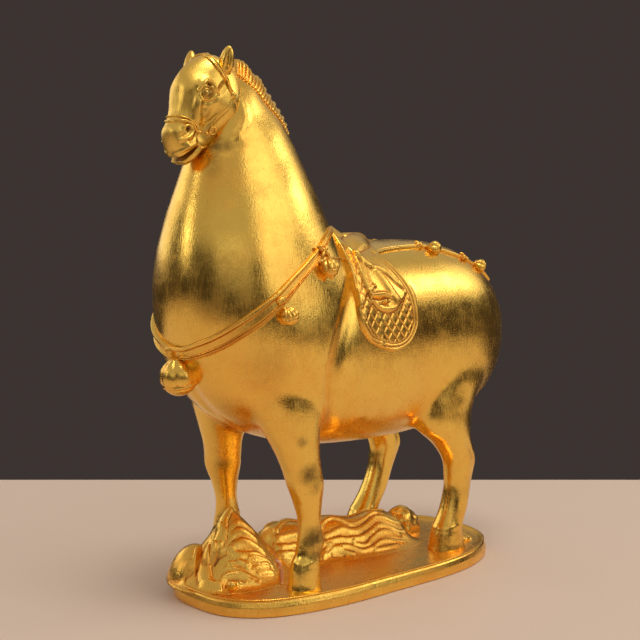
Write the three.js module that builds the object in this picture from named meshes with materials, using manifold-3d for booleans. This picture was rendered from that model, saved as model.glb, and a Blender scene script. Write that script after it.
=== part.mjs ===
import * as THREE from 'three';
import { mergeVertices } from 'three/addons/utils/BufferGeometryUtils.js';
import Module from 'manifold-3d';

// A saddled horse on a low oval base, cast in one piece and gilded.
// Millimetres. The horse faces -X and its left side is -Y. The origin is on the horse's middle
// plane, under the middle of the base.

// Driving sizes.
const totalHeight = 400;
const baseHeight = 13;
const baseFloor = 11;
const baseHalfLength = 141;
const baseHalfWidth = 72;
const baseCentre = { x: 0, y: -3 };
const baseSquareness = 2.7;
const baseSpread = { reach: 7, from: -30, to: 110 };
const lipWidth = 3;
const lipSlope = 2;
const sideLean = 2;
const standHalfWidth = 49;
const trunkSquareness = 2.25;
const legSquareness = 2.2;
const faceSquareness = 2.5;
const jawSquareness = 3.6;
const sinkDepth = 2;

// Sections of the trunk and neck from the tail to the poll. Each has its point on the back or crest
// and its point on the belly or chest, both [x, z], half its width, and how high it is widest.
const trunkSections = [
  { top: [164, 188], under: [163, 163], half: 18, widest: 0.5 },
  { top: [157, 219], under: [153, 139], half: 40, widest: 0.5 },
  { top: [142, 239], under: [135, 121], half: 53, widest: 0.5 },
  { top: [117, 253], under: [109, 109], half: 61, widest: 0.5 },
  { top: [82, 259.5], under: [77, 104], half: 63, widest: 0.5 },
  { top: [43, 260], under: [41, 102], half: 63, widest: 0.5 },
  { top: [9, 260], under: [5, 103], half: 65, widest: 0.48 },
  { top: [-19, 262], under: [-40, 107], half: 66, widest: 0.46 },
  { top: [-27, 270], under: [-85, 119], half: 66, widest: 0.44 },
  { top: [-30, 279], under: [-118, 138], half: 65, widest: 0.42 },
  { top: [-33, 289], under: [-138, 161], half: 62, widest: 0.41 },
  { top: [-37, 300], under: [-151, 189], half: 58, widest: 0.41 },
  { top: [-42, 311], under: [-156, 220], half: 53, widest: 0.42 },
  { top: [-48, 323], under: [-154.5, 250], half: 46, widest: 0.43 },
  { top: [-54, 337], under: [-149, 278], half: 37, widest: 0.44 },
  { top: [-62.5, 351], under: [-141.5, 301], half: 30, widest: 0.45 },
  { top: [-72.5, 365], under: [-135, 320], half: 24, widest: 0.46 },
  { top: [-85, 378], under: [-127, 335], half: 19, widest: 0.48 },
  { top: [-101, 385], under: [-117, 352], half: 13, widest: 0.5 },
];

// Legs from the body down to the sole. Each section is its height, the offset of its centre along X
// from the foot, its offset outwards, and half its length and half its width.
const foreLeg = [
  { z: 178, along: -10, out: -18, long: 38, wide: 22 },
  { z: 150, along: -9, out: -13, long: 31, wide: 24 },
  { z: 128, along: -8, out: -7, long: 22, wide: 19 },
  { z: 112, along: -6, out: -3, long: 16.5, wide: 15 },
  { z: 98, along: -3, out: -1, long: 14, wide: 13 },
  { z: 88, along: -1, out: 0, long: 13.2, wide: 12.4 },
  { z: 76, along: 1, out: 0, long: 10.6, wide: 10 },
  { z: 62, along: 3, out: 0, long: 8.4, wide: 7.8 },
  { z: 52, along: 4, out: 0, long: 8.8, wide: 8.2 },
  { z: 44, along: 4, out: 0, long: 10, wide: 9.2 },
  { z: 36, along: 1.5, out: 0, long: 9.2, wide: 8.8 },
  { z: 29, along: -1, out: 0, long: 10.2, wide: 9.6 },
  { z: 12, along: -2, out: 0, long: 12, wide: 10.8 },
  { z: 8, along: -2, out: 0, long: 12, wide: 10.8 },
];
const hindLeg = [
  { z: 182, along: 16, out: -18, long: 36, wide: 25 },
  { z: 152, along: 8, out: -12, long: 37, wide: 25 },
  { z: 128, along: -3, out: -7, long: 32, wide: 21 },
  { z: 111, along: -4, out: -2, long: 26, wide: 17 },
  { z: 98, along: 4, out: 0, long: 18, wide: 13 },
  { z: 84, along: 12.5, out: 0, long: 15.2, wide: 11 },
  { z: 72, along: 12.5, out: 0, long: 13, wide: 9.8 },
  { z: 60, along: 11, out: 0, long: 11.6, wide: 9 },
  { z: 44, along: 7, out: 0, long: 12, wide: 9.6 },
  { z: 34, along: 2, out: 0, long: 12, wide: 10.2 },
  { z: 27, along: -1, out: 0, long: 12.8, wide: 11 },
  { z: 12, along: -1, out: 0, long: 15.4, wide: 12.6 },
  { z: 8, along: -1, out: 0, long: 15.4, wide: 12.6 },
];
// The feet, forelegs first. The far hind leg leans back from its foot as far up as the hock.
const feet = [
  { sections: foreLeg, x: -73, y: -standHalfWidth, lean: 0 },
  { sections: foreLeg, x: -73, y: standHalfWidth, lean: 0 },
  { sections: hindLeg, x: 80, y: -standHalfWidth, lean: 0 },
  { sections: hindLeg, x: 67, y: 38, lean: 0.22 },
];
const hockHeight = 90;

// The head hangs from the poll. Its sections lie across a line through the skull, from the poll to
// the lips: how far down, the face and jaw at each side of the line, and half the width.
const headTop = { x: -116, z: 391 };
const headTilt = THREE.MathUtils.degToRad(25);
const headSections = [
  { down: 0, face: 4, jaw: 6, half: 6 },
  { down: 4, face: 10.5, jaw: 16, half: 12.5 },
  { down: 11, face: 16, jaw: 22.5, half: 16.5 },
  { down: 21, face: 21, jaw: 28, half: 20 },
  { down: 31, face: 21, jaw: 30, half: 19.5 },
  { down: 40, face: 18.5, jaw: 29, half: 17.5 },
  { down: 49, face: 16.5, jaw: 23, half: 14.5 },
  { down: 58, face: 16, jaw: 15.5, half: 12.5 },
  { down: 65, face: 15, jaw: 12.5, half: 13 },
  { down: 73, face: 9.5, jaw: 10.5, half: 11.5 },
  { down: 80, face: 1.5, jaw: 7, half: 7.5 },
];
const ears = { root: { x: -117, y: 12, z: 380 }, tip: { x: -119, y: 21, z: totalHeight }, width: 8 };
const earForm = { taper: 0.6, rootShare: 0.75, swell: 0.6, tipWidth: 0.4, flatness: 0.6 };
const eye = { down: 31, face: 6.5, y: 16, radius: 5 };
const nostril = { down: 60, face: 8, y: 12, radius: 2.4 };
const mouth = { front: { down: 80, face: 6 }, corner: { down: 67, face: -6 }, opening: 2, width: 40 };
const tail = { root: [148, 236], tip: [171, 176], radius: 7.5, flatness: 0.6, swell: 0.5, droop: 1.4 };

// Harness. Places on the trunk are given as the number of a section and the angle round it.
const turn = THREE.MathUtils.degToRad;
const strapHalfWidth = 5.8;
const strapProud = 2.4;
const breastStrap = {
  front: 10.95,
  side: 10.05,
  topAngle: turn(34),
  risesFrom: turn(45),
  risesTo: turn(120),
};
const chestBell = { radius: 13.5, x: -149, z: 168, knot: 5 };
const sideKnotRadius = 4;
const bellLift = 0.7;
const sideBells = [
  { section: 10.18, angle: turn(94), knotSection: 10.68, knotAngle: turn(94), radius: 7 },
  { section: 9.58, angle: turn(65), knotSection: 10.15, knotAngle: turn(62), radius: 6.6 },
];
const crupper = {
  angle: turn(23),
  bellAngle: turn(30),
  halfWidth: 2.2,
  proud: 1.6,
  from: 5.3,
  to: 1.3,
  narrowsFrom: 0.55,
  narrowsBy: 0.8,
};
const crupperBells = [{ section: 4.1, radius: 5.6 }, { section: 2.5, radius: 5.6 }];
const saddleCloth = { front: 7.2, back: 5.28, top: turn(46), bottom: turn(87), proud: 2.4, corner: 3.2 };
const saddleFlap = { front: 7.0, back: 5.4, top: turn(30), bottom: turn(70), proud: 4.6, corner: 2.6 };
const seat = {
  front: 7.15,
  back: 5.2,
  side: turn(44),
  archPower: 2.2,
  edge: 2.6,
  hollow: -1.4,
  pommel: 9.5,
  pommelAt: 0.33,
  cantle: 4,
  cantleAt: 0.8,
  ridge: 0.22,
};

// The bridle's straps are given by places on the head: how far down, and the angle from the face.
const bridle = {
  proud: 1.5,
  halfWidth: 1.9,
  noseband: [[55, turn(150)], [55, turn(60)], [56.5, 0]],
  browband: [[23, turn(115)], [14, turn(83)], [6.4, turn(32)], [4.6, 0]],
  cheekStrap: [[23, turn(115)], [33, turn(111)], [46, turn(103)], [57, turn(93)]],
};

// Mane, clipped in upright tufts along the crest.
const mane = {
  tufts: 21,
  from: 17.85,
  to: 9.2,
  height: 6,
  lowHeight: 4.5,
  halfWidth: 3.4,
  topShare: 0.6,
  sink: 2.5,
  gap: 0.24,
};

// Waves and rocks on the base: a tall crest between the forelegs and a long swell behind it.
const frontWave = {
  x: -91,
  y: 14,
  height: 49,
  halfLength: 52,
  halfWidth: 46,
  skirt: 0.45,
  steepness: 1.5,
  ridges: 9,
  ridgeDepth: 1.8,
  swirl: 1.6,
  lobe: { x: -117, y: 27, radius: 21, height: 25, fullness: 0.7 },
};
const swell = {
  from: -74,
  to: 84,
  y: 12,
  halfWidth: 36,
  height: 30,
  rearShare: 0.74,
  sway: 7,
  crests: 3.7,
  firstCrest: 0.23,
  crestSway: 0.05,
  ridges: 6,
  ridgeDepth: 1.6,
};
const rock = { x: 86, y: 20, radius: 18, height: 20, width: 0.85, lift: 1 };
const pearl = { x: -125, y: -22, radius: 5, lift: 2 };
const reliefRoot = 3;
const reliefSink = 1.2;
const reliefCeiling = 110;

const wasm = await Module();
wasm.setup();

// A closed skin over rings with equal numbers of points, with a point at each end.
function skin(rings) {
  const count = rings[0].length;
  const points = [];
  const faces = [];
  rings.forEach((ring) => ring.forEach((point) => points.push(point)));
  for (let i = 0; i < rings.length - 1; i += 1) {
    for (let j = 0; j < count; j += 1) {
      const next = (j + 1) % count;
      const a = i * count + j;
      const b = i * count + next;
      const c = (i + 1) * count + next;
      const d = (i + 1) * count + j;
      faces.push([a, b, c], [a, c, d]);
    }
  }
  const middle = (ring) => ring.reduce((sum, p) => sum.add(p), new THREE.Vector3()).divideScalar(count);
  const first = points.push(middle(rings[0])) - 1;
  const last = points.push(middle(rings[rings.length - 1])) - 1;
  const start = (rings.length - 1) * count;
  for (let j = 0; j < count; j += 1) {
    const next = (j + 1) % count;
    faces.push([first, next, j], [last, start + j, start + next]);
  }
  return solidFrom(points, faces);
}

// A solid from points and triangles, turned inside out where its faces point in.
function solidFrom(points, faces) {
  let volume = 0;
  faces.forEach(([a, b, c]) => {
    volume += points[a].dot(new THREE.Vector3().crossVectors(points[b], points[c]));
  });
  const turned = volume < 0 ? faces.map(([a, b, c]) => [a, c, b]) : faces;
  const vertProperties = new Float32Array(points.flatMap((p) => [p.x, p.y, p.z]));
  const triVerts = new Uint32Array(turned.flat());
  const mesh = new wasm.Mesh({ numProp: 3, vertProperties, triVerts });
  return new wasm.Manifold(mesh);
}

function solidFromGeometry(geometry) {
  geometry.deleteAttribute('normal');
  geometry.deleteAttribute('uv');
  const merged = mergeVertices(geometry, 1e-4);
  const vertProperties = new Float32Array(merged.attributes.position.array);
  const triVerts = new Uint32Array(merged.index.array);
  return new wasm.Manifold(new wasm.Mesh({ numProp: 3, vertProperties, triVerts }));
}

// A value part of the way along a list, on a smooth curve through its members.
function along(list, share) {
  const place = THREE.MathUtils.clamp(share, 0, 1) * (list.length - 1);
  const i = Math.min(Math.floor(place), list.length - 2);
  const t = place - i;
  const at = (k) => list[THREE.MathUtils.clamp(k, 0, list.length - 1)];
  const [p0, p1, p2, p3] = [at(i - 1), at(i), at(i + 1), at(i + 2)];
  const slope1 = (p2 - p0) / 2;
  const slope2 = (p3 - p1) / 2;
  const rise = p2 - p1;
  return p1 + t * (slope1 + t * (3 * rise - 2 * slope1 - slope2 + t * (slope1 + slope2 - 2 * rise)));
}

const powerOf = (value, squareness) => Math.sign(value) * Math.abs(value) ** (2 / squareness);

// A point on the trunk's skin: share runs from the tail to the poll, and the angle runs from the
// back (0) down the left side to the belly (half a turn) and up the right side.
function trunkPoint(share, angle, proud = 0) {
  const value = (pick) => along(trunkSections.map(pick), share);
  const top = new THREE.Vector3(value((s) => s.top[0]), 0, value((s) => s.top[1]));
  const under = new THREE.Vector3(value((s) => s.under[0]), 0, value((s) => s.under[1]));
  const half = value((s) => s.half);
  const centre = under.clone().lerp(top, value((s) => s.widest));
  const rise = powerOf(Math.cos(angle), trunkSquareness);
  const side = powerOf(Math.sin(angle), trunkSquareness);
  const arm = rise > 0 ? top.clone().sub(centre) : centre.clone().sub(under);
  const point = centre.clone().addScaledVector(arm, rise);
  point.y = -half * side;
  if (proud === 0) {
    return point;
  }
  return point.addScaledVector(trunkNormal(share, angle), proud);
}

function trunkNormal(share, angle) {
  const step = 0.004;
  const swing = 0.02;
  const alongBody = trunkPoint(share + step, angle).sub(trunkPoint(share - step, angle));
  const aroundBody = trunkPoint(share, angle + swing).sub(trunkPoint(share, angle - swing));
  return alongBody.cross(aroundBody).normalize();
}

function trunk() {
  const rings = 27;
  const sides = 20;
  const skinRings = [];
  for (let i = 0; i <= rings; i += 1) {
    const ring = [];
    for (let j = 0; j < sides; j += 1) {
      ring.push(trunkPoint(i / rings, (2 * Math.PI * (j + 0.5)) / sides));
    }
    skinRings.push(ring);
  }
  return skin(skinRings);
}

// An upright stack of level oval sections.
function leg(foot) {
  const sides = 10;
  const side = Math.sign(foot.y);
  const rings = foot.sections.map((section) => {
    const aboveHock = Math.min(1, hockHeight / section.z);
    const shift = foot.lean * Math.max(0, section.z - baseFloor) * aboveHock;
    const ring = [];
    for (let j = 0; j < sides; j += 1) {
      const angle = (2 * Math.PI * j) / sides;
      const x = foot.x + section.along + shift + section.long * powerOf(Math.cos(angle), legSquareness);
      const y = foot.y + side * section.out + section.wide * powerOf(Math.sin(angle), legSquareness);
      ring.push(new THREE.Vector3(x, y, section.z));
    }
    return ring;
  });
  return skin(rings);
}

// The head's own axes: down the skull, and forward through the face.
const headDown = new THREE.Vector3(-Math.sin(headTilt), 0, -Math.cos(headTilt));
const headFace = new THREE.Vector3(-Math.cos(headTilt), 0, Math.sin(headTilt));

// A point on the head's skin: a share of the way down the skull, and the angle from the face (0)
// round the left side to the jaw (half a turn).
function headPoint(share, angle) {
  const value = (key) => along(headSections.map((s) => s[key]), share);
  const forward = Math.cos(angle) > 0;
  const squareness = forward ? faceSquareness : jawSquareness;
  const reach = value(forward ? 'face' : 'jaw') * powerOf(Math.cos(angle), squareness);
  const point = new THREE.Vector3(headTop.x, 0, headTop.z).addScaledVector(headDown, value('down'));
  point.addScaledVector(headFace, reach);
  point.y = -value('half') * powerOf(Math.sin(angle), squareness);
  return point;
}

function head() {
  const rings = 14;
  const sides = 16;
  const skinRings = [];
  for (let i = 0; i <= rings; i += 1) {
    const ring = [];
    for (let j = 0; j < sides; j += 1) {
      ring.push(headPoint(i / rings, (2 * Math.PI * j) / sides));
    }
    skinRings.push(ring);
  }
  return skin(skinRings);
}

function ear(side) {
  const rings = 4;
  const sides = 7;
  const root = new THREE.Vector3(ears.root.x, side * ears.root.y, ears.root.z);
  const tip = new THREE.Vector3(ears.tip.x, side * ears.tip.y, ears.tip.z);
  const skinRings = [];
  for (let i = 0; i <= rings; i += 1) {
    const t = i / rings;
    const swollen = earForm.rootShare + earForm.swell * t;
    const size = ears.width * (1 - t) ** earForm.taper * swollen + earForm.tipWidth;
    const centre = root.clone().lerp(tip, t);
    const ring = [];
    for (let j = 0; j < sides; j += 1) {
      const angle = (2 * Math.PI * j) / sides;
      const x = centre.x + earForm.flatness * size * Math.cos(angle);
      const y = centre.y + size * Math.sin(angle);
      ring.push(new THREE.Vector3(x, y, centre.z));
    }
    skinRings.push(ring);
  }
  return skin(skinRings);
}

// One level outline of the base, a squarish oval, drawn in from its widest. Its near side stands
// out further towards the hind end.
function ovalRing(inset, z) {
  const sides = 48;
  const ring = [];
  for (let j = 0; j < sides; j += 1) {
    const angle = (2 * Math.PI * j) / sides;
    const x = baseCentre.x + (baseHalfLength - inset) * powerOf(Math.cos(angle), baseSquareness);
    const side = powerOf(Math.sin(angle), baseSquareness);
    const spread = baseSpread.reach * THREE.MathUtils.smoothstep(x, baseSpread.from, baseSpread.to);
    const y = baseCentre.y + (baseHalfWidth - inset) * side + spread * Math.min(0, side);
    ring.push(new THREE.Vector3(x, y, z));
  }
  return ring;
}

// The oval plate under the horse, with a low lip around its dished top.
function basePlate() {
  return skin([
    ovalRing(sideLean, 0),
    ovalRing(0, baseHeight / 3),
    ovalRing(sideLean, baseHeight),
    ovalRing(sideLean + lipWidth, baseHeight),
    ovalRing(sideLean + lipWidth + lipSlope, baseFloor),
  ]);
}

// A raised band along a path of [point, outward direction] pairs.
function band(path, halfWidth, proud, profile) {
  const rings = path.map(([point, out], i) => {
    const before = path[Math.max(i - 1, 0)][0];
    const after = path[Math.min(i + 1, path.length - 1)][0];
    const forward = after.clone().sub(before).normalize();
    const across = new THREE.Vector3().crossVectors(out, forward).normalize();
    return profile.map(([side, rise]) => point.clone()
      .addScaledVector(across, side * halfWidth)
      .addScaledVector(out, rise > 0 ? rise * proud : rise * sinkDepth));
  });
  return skin(rings);
}

const plainStrap = [[-1, -1], [-0.8, 1], [0.8, 1], [1, -1]];
const groovedStrap = [
  [-1, -1],
  [-0.9, 0.9],
  [-0.5, 0.9],
  [-0.2, 0.4],
  [0.2, 0.4],
  [0.5, 1.1],
  [0.9, 1.1],
  [1, -1],
];

const trunkShare = (section) => section / (trunkSections.length - 1);
const onTrunk = (section, angle) => [
  trunkPoint(trunkShare(section), angle),
  trunkNormal(trunkShare(section), angle),
];
const sphere = (centre, radius, widthSegments = 7, heightSegments = 5) => {
  const geometry = new THREE.SphereGeometry(radius, widthSegments, heightSegments);
  geometry.translate(centre.x, centre.y, centre.z);
  return solidFromGeometry(geometry);
};

// The breast strap, from the saddle on one side round the chest to the other.
function breastBand() {
  const steps = 28;
  const path = [];
  for (let i = 0; i <= steps; i += 1) {
    const angle = breastStrap.topAngle + (2 * (Math.PI - breastStrap.topAngle) * i) / steps;
    const fromTop = angle < Math.PI ? angle : 2 * Math.PI - angle;
    const rise = THREE.MathUtils.smoothstep(fromTop, breastStrap.risesFrom, breastStrap.risesTo);
    path.push(onTrunk(THREE.MathUtils.lerp(breastStrap.side, breastStrap.front, rise), angle));
  }
  return band(path, strapHalfWidth, strapProud, groovedStrap);
}

function bellOn(section, angle, radius, side, widthSegments = 7, heightSegments = 5) {
  const [point, out] = onTrunk(section, angle);
  const centre = point.addScaledVector(out, radius * bellLift);
  centre.y *= side;
  return sphere(centre, radius, widthSegments, heightSegments);
}

function bells() {
  const made = [sphere(new THREE.Vector3(chestBell.x, 0, chestBell.z), chestBell.radius, 12, 8)];
  const [chestKnot] = onTrunk(breastStrap.front, Math.PI);
  made.push(sphere(chestKnot, chestBell.knot, 6, 4));
  [1, -1].forEach((side) => {
    sideBells.forEach((bell) => {
      made.push(bellOn(bell.section, bell.angle, bell.radius, side));
      made.push(bellOn(bell.knotSection, bell.knotAngle, sideKnotRadius, side, 5, 3));
    });
    crupperBells.forEach((bell) => {
      made.push(bellOn(bell.section, crupper.bellAngle, bell.radius, side));
    });
  });
  return made;
}

function crupperBand(side) {
  const steps = 11;
  const path = [];
  for (let i = 0; i <= steps; i += 1) {
    const t = i / steps;
    const narrowing = THREE.MathUtils.smoothstep(t, crupper.narrowsFrom, 1);
    const angle = side * crupper.angle * (1 - crupper.narrowsBy * narrowing);
    path.push(onTrunk(THREE.MathUtils.lerp(crupper.from, crupper.to, t), angle));
  }
  return band(path, crupper.halfWidth, crupper.proud, plainStrap);
}

// A layer lying on the trunk, given by a function from (u, v) in 0..1 to [section, angle, proud].
function layer(stepsU, stepsV, place) {
  const rings = [];
  for (let i = 0; i <= stepsU; i += 1) {
    const outer = [];
    const inner = [];
    for (let j = 0; j <= stepsV; j += 1) {
      const [section, angle, proud] = place(i / stepsU, j / stepsV);
      outer.push(trunkPoint(trunkShare(section), angle, proud));
      inner.unshift(trunkPoint(trunkShare(section), angle, -sinkDepth));
    }
    rings.push([...outer, ...inner]);
  }
  return skin(rings);
}

// A hanging panel with rounded lower corners, on the left (1) or right (-1).
function panel(shape, side, stepsU, stepsV) {
  const widest = 0.999;
  const leastDrop = 0.002;
  return layer(stepsU, stepsV, (u, v) => {
    const across = Math.min(Math.abs(2 * u - 1), widest);
    const drop = (1 - across ** shape.corner) ** (1 / shape.corner);
    const angle = THREE.MathUtils.lerp(shape.top, shape.bottom, v * drop + leastDrop);
    const section = THREE.MathUtils.lerp(shape.front, shape.back, u);
    return [section, side * angle, shape.proud];
  });
}

function saddleSeat() {
  return layer(9, 6, (u, v) => {
    const section = THREE.MathUtils.lerp(seat.front, seat.back, u);
    const across = 2 * v - 1;
    const arch = 1 - Math.abs(across) ** seat.archPower;
    const pommel = seat.pommel * bump(Math.abs(u - seat.pommelAt) / seat.ridge);
    const cantle = seat.cantle * bump(Math.abs(u - seat.cantleAt) / seat.ridge);
    const proud = seat.edge + arch * Math.max(seat.hollow, pommel, cantle);
    return [section, across * seat.side, proud];
  });
}

function maneTuft(index) {
  const pitch = (mane.from - mane.to) / mane.tufts;
  const front = mane.from - index * pitch;
  const back = front - pitch * (1 - mane.gap);
  const height = THREE.MathUtils.lerp(mane.height, mane.lowHeight, index / mane.tufts);
  const rings = [front, back].map((section) => {
    const [point, out] = onTrunk(section, 0);
    const across = new THREE.Vector3(0, 1, 0);
    const corner = (side, rise) => point.clone()
      .addScaledVector(across, side * mane.halfWidth)
      .addScaledVector(out, rise);
    return [
      corner(1, -mane.sink),
      corner(mane.topShare, height),
      corner(-mane.topShare, height),
      corner(-1, -mane.sink),
    ];
  });
  return skin(rings);
}

// The share of the way along the head's sections that lies a distance down the skull.
function shareDown(down) {
  const last = headSections.length - 2;
  const found = headSections.findIndex((section) => section.down > down) - 1;
  const i = THREE.MathUtils.clamp(found, 0, last);
  const span = headSections[i + 1].down - headSections[i].down;
  return (i + (down - headSections[i].down) / span) / (headSections.length - 1);
}

function onHead(down, angle) {
  const step = 1;
  const swing = 0.05;
  const at = (distance, turned) => headPoint(shareDown(distance), turned);
  const alongHead = at(down + step, angle).sub(at(down - step, angle));
  const aroundHead = at(down, angle + swing).sub(at(down, angle - swing));
  return [at(down, angle), alongHead.cross(aroundHead).normalize()];
}

// A strap on the head through a few [down, angle] places.
function headStrap(places, steps) {
  const path = [];
  for (let i = 0; i <= steps; i += 1) {
    const down = along(places.map((place) => place[0]), i / steps);
    const angle = along(places.map((place) => place[1]), i / steps);
    path.push(onHead(down, angle));
  }
  return band(path, bridle.halfWidth, bridle.proud, plainStrap);
}

const onRight = ([down, angle]) => [down, -angle];

function bridleStraps() {
  const made = [bridle.noseband, bridle.browband].map((half) => {
    const otherHalf = half.slice(0, -1).map(onRight).reverse();
    return headStrap([...half, ...otherHalf], 12);
  });
  made.push(headStrap(bridle.cheekStrap, 8), headStrap(bridle.cheekStrap.map(onRight), 8));
  return made;
}

// Places on the head away from its skin, by distance down, distance forward and side.
function inHead(down, face, y) {
  const point = new THREE.Vector3(headTop.x, y, headTop.z);
  return point.addScaledVector(headDown, down).addScaledVector(headFace, face);
}

function faceFeatures() {
  const made = [];
  [1, -1].forEach((side) => {
    made.push(sphere(inHead(eye.down, eye.face, side * eye.y), eye.radius, 7, 5));
  });
  return made;
}

function nostrilsAndMouth() {
  const made = [];
  [1, -1].forEach((side) => {
    made.push(sphere(inHead(nostril.down, nostril.face, side * nostril.y), nostril.radius, 6, 4));
  });
  const front = inHead(mouth.front.down, mouth.front.face, 0);
  const corner = inHead(mouth.corner.down, mouth.corner.face, 0);
  const run = corner.clone().sub(front);
  const slot = new THREE.BoxGeometry(run.length(), mouth.width, mouth.opening);
  slot.rotateY(-Math.atan2(run.z, run.x));
  const place = front.lerp(corner, 0.5);
  slot.translate(place.x, 0, place.z);
  made.push(solidFromGeometry(slot));
  return made;
}

function shortTail() {
  const steps = 5;
  const sides = 7;
  const blunt = [0.75, 0.75, 0.75, 0.75, 0.75, 0.34];
  const rings = blunt.map((share, i) => {
    const t = i / steps;
    const x = THREE.MathUtils.lerp(tail.root[0], tail.tip[0], Math.sin((t * Math.PI) / 2));
    const z = THREE.MathUtils.lerp(tail.root[1], tail.tip[1], t ** tail.droop);
    const size = tail.radius * (share + tail.swell * Math.sin(Math.PI * t));
    const ring = [];
    for (let j = 0; j < sides; j += 1) {
      const angle = (2 * Math.PI * j) / sides;
      ring.push(new THREE.Vector3(x + tail.flatness * size * Math.cos(angle), size * Math.sin(angle), z));
    }
    return ring;
  });
  return skin(rings);
}

// Ground relief: a closed block whose top follows a height above the base's floor.
function relief(from, to, stepsX, stepsY, height) {
  const rings = [];
  for (let i = 0; i <= stepsX; i += 1) {
    const x = THREE.MathUtils.lerp(from[0], to[0], i / stepsX);
    const ring = [];
    for (let j = 0; j <= stepsY; j += 1) {
      const y = THREE.MathUtils.lerp(from[1], to[1], j / stepsY);
      const onEdge = i === 0 || j === 0 || i === stepsX || j === stepsY;
      const top = onEdge ? reliefRoot + 1 : baseFloor - reliefSink + height(x, y);
      ring.push(new THREE.Vector3(x, y, top));
    }
    ring.push(new THREE.Vector3(x, to[1], reliefRoot), new THREE.Vector3(x, from[1], reliefRoot));
    rings.push(ring);
  }
  return skin(rings);
}

const bump = (distance) => (distance < 1 ? (1 - distance * distance) ** 2 : 0);

// The front crest curls up from both sides to one peak, scored by ridges that climb to it and fade
// at its foot and at its tip. A rounded lobe rises beside it.
function frontWaveHeight(x, y) {
  const dx = (x - frontWave.x) / frontWave.halfLength;
  const dy = (y - frontWave.y) / frontWave.halfWidth;
  const distance = Math.hypot(dx, dy);
  const { lobe } = frontWave;
  const fromLobe = Math.hypot(x - lobe.x, y - lobe.y) / lobe.radius;
  const rounded = lobe.height * Math.max(0, 1 - fromLobe * fromLobe) ** lobe.fullness;
  if (distance >= 1) {
    return rounded;
  }
  const peak = (1 - distance) ** frontWave.steepness;
  const body = THREE.MathUtils.lerp(peak, bump(distance), frontWave.skirt);
  const turned = Math.atan2(dy, dx) + frontWave.swirl * distance;
  const fade = Math.min(1, 4 * distance) * bump(distance);
  const ridge = frontWave.ridgeDepth * Math.cos(frontWave.ridges * turned) * fade;
  return Math.max(rounded, frontWave.height * body + ridge);
}

// The long swell is scored by ridges that run along it in a shallow S.
function swellHeight(x, y) {
  const t = (x - swell.from) / (swell.to - swell.from);
  const middle = swell.y + swell.sway * Math.sin(2 * Math.PI * t);
  const across = (y - middle) / swell.halfWidth;
  const ends = THREE.MathUtils.smoothstep(t, 0, 0.15) * THREE.MathUtils.smoothstep(1 - t, 0, 0.12);
  const crest = Math.cos(2 * Math.PI * swell.crests * (t - swell.firstCrest));
  const share = THREE.MathUtils.lerp(1, swell.rearShare, t) + swell.crestSway * crest;
  const ridge = swell.ridgeDepth * Math.cos(Math.PI * swell.ridges * across);
  return ends * Math.max(0, (swell.height * share + ridge) * bump(Math.abs(across)));
}

function wavesAndRocks() {
  const made = [];
  const reach = { x: frontWave.halfLength, y: frontWave.halfWidth };
  const front = relief(
    [frontWave.x - reach.x, frontWave.y - reach.y],
    [frontWave.x + reach.x, frontWave.y + reach.y],
    15,
    14,
    frontWaveHeight,
  );
  made.push(front.intersect(insideLip()));
  const halfSpan = swell.halfWidth + swell.sway;
  const near = [swell.from, swell.y - halfSpan];
  made.push(relief(near, [swell.to, swell.y + halfSpan], 9, 19, swellHeight));
  const boulder = new THREE.IcosahedronGeometry(rock.radius, 1);
  boulder.scale(1, rock.width, rock.height / rock.radius);
  boulder.translate(rock.x, rock.y, baseFloor + rock.lift);
  made.push(solidFromGeometry(boulder).intersect(insideLip()));
  made.push(sphere(new THREE.Vector3(pearl.x, pearl.y, baseFloor + pearl.lift), pearl.radius, 8, 6));
  return made;
}

// The space over the base's dished floor, to trim relief that would hang over the lip or below it.
function insideLip() {
  const inset = sideLean + lipWidth;
  return skin([reliefRoot + 1, reliefCeiling].map((z) => ovalRing(inset, z)));
}

const join = (solids) => solids.reduce((sum, solid) => sum.add(solid));
const skull = join([head(), ...faceFeatures()]);
const carvedHead = nostrilsAndMouth().reduce((rest, hollow) => rest.subtract(hollow), skull);
const tufts = Array.from({ length: mane.tufts }, (unused, index) => maneTuft(index));
const saddle = [saddleSeat()];
[1, -1].forEach((side) => {
  saddle.push(panel(saddleCloth, side, 7, 3), panel(saddleFlap, side, 7, 2));
});
const harness = [breastBand(), crupperBand(1), crupperBand(-1), ...bells(), ...bridleStraps(), ...saddle];
const horse = join([
  trunk(),
  carvedHead,
  ear(1),
  ear(-1),
  shortTail(),
  ...feet.map(leg),
  ...tufts,
  ...harness,
  basePlate(),
  ...wavesAndRocks(),
]);

function meshFromSolid(name, solid, material) {
  const { vertProperties, triVerts } = solid.getMesh();
  const geometry = new THREE.BufferGeometry();
  geometry.setAttribute('position', new THREE.BufferAttribute(new Float32Array(vertProperties), 3));
  geometry.setIndex(new THREE.BufferAttribute(new Uint32Array(triVerts), 1));
  geometry.computeVertexNormals();
  const mesh = new THREE.Mesh(geometry, material);
  mesh.name = name;
  return mesh;
}

const gilding = new THREE.MeshStandardMaterial({ color: 0xd9a441, roughness: 0.28, metalness: 1 });

const group = new THREE.Group();
group.add(meshFromSolid('horse_figure', horse, gilding));

export default group;
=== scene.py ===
import math

import bmesh
import bpy
import numpy as np
from mathutils import Matrix, Vector, noise
from mathutils.bvhtree import BVHTree


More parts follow.
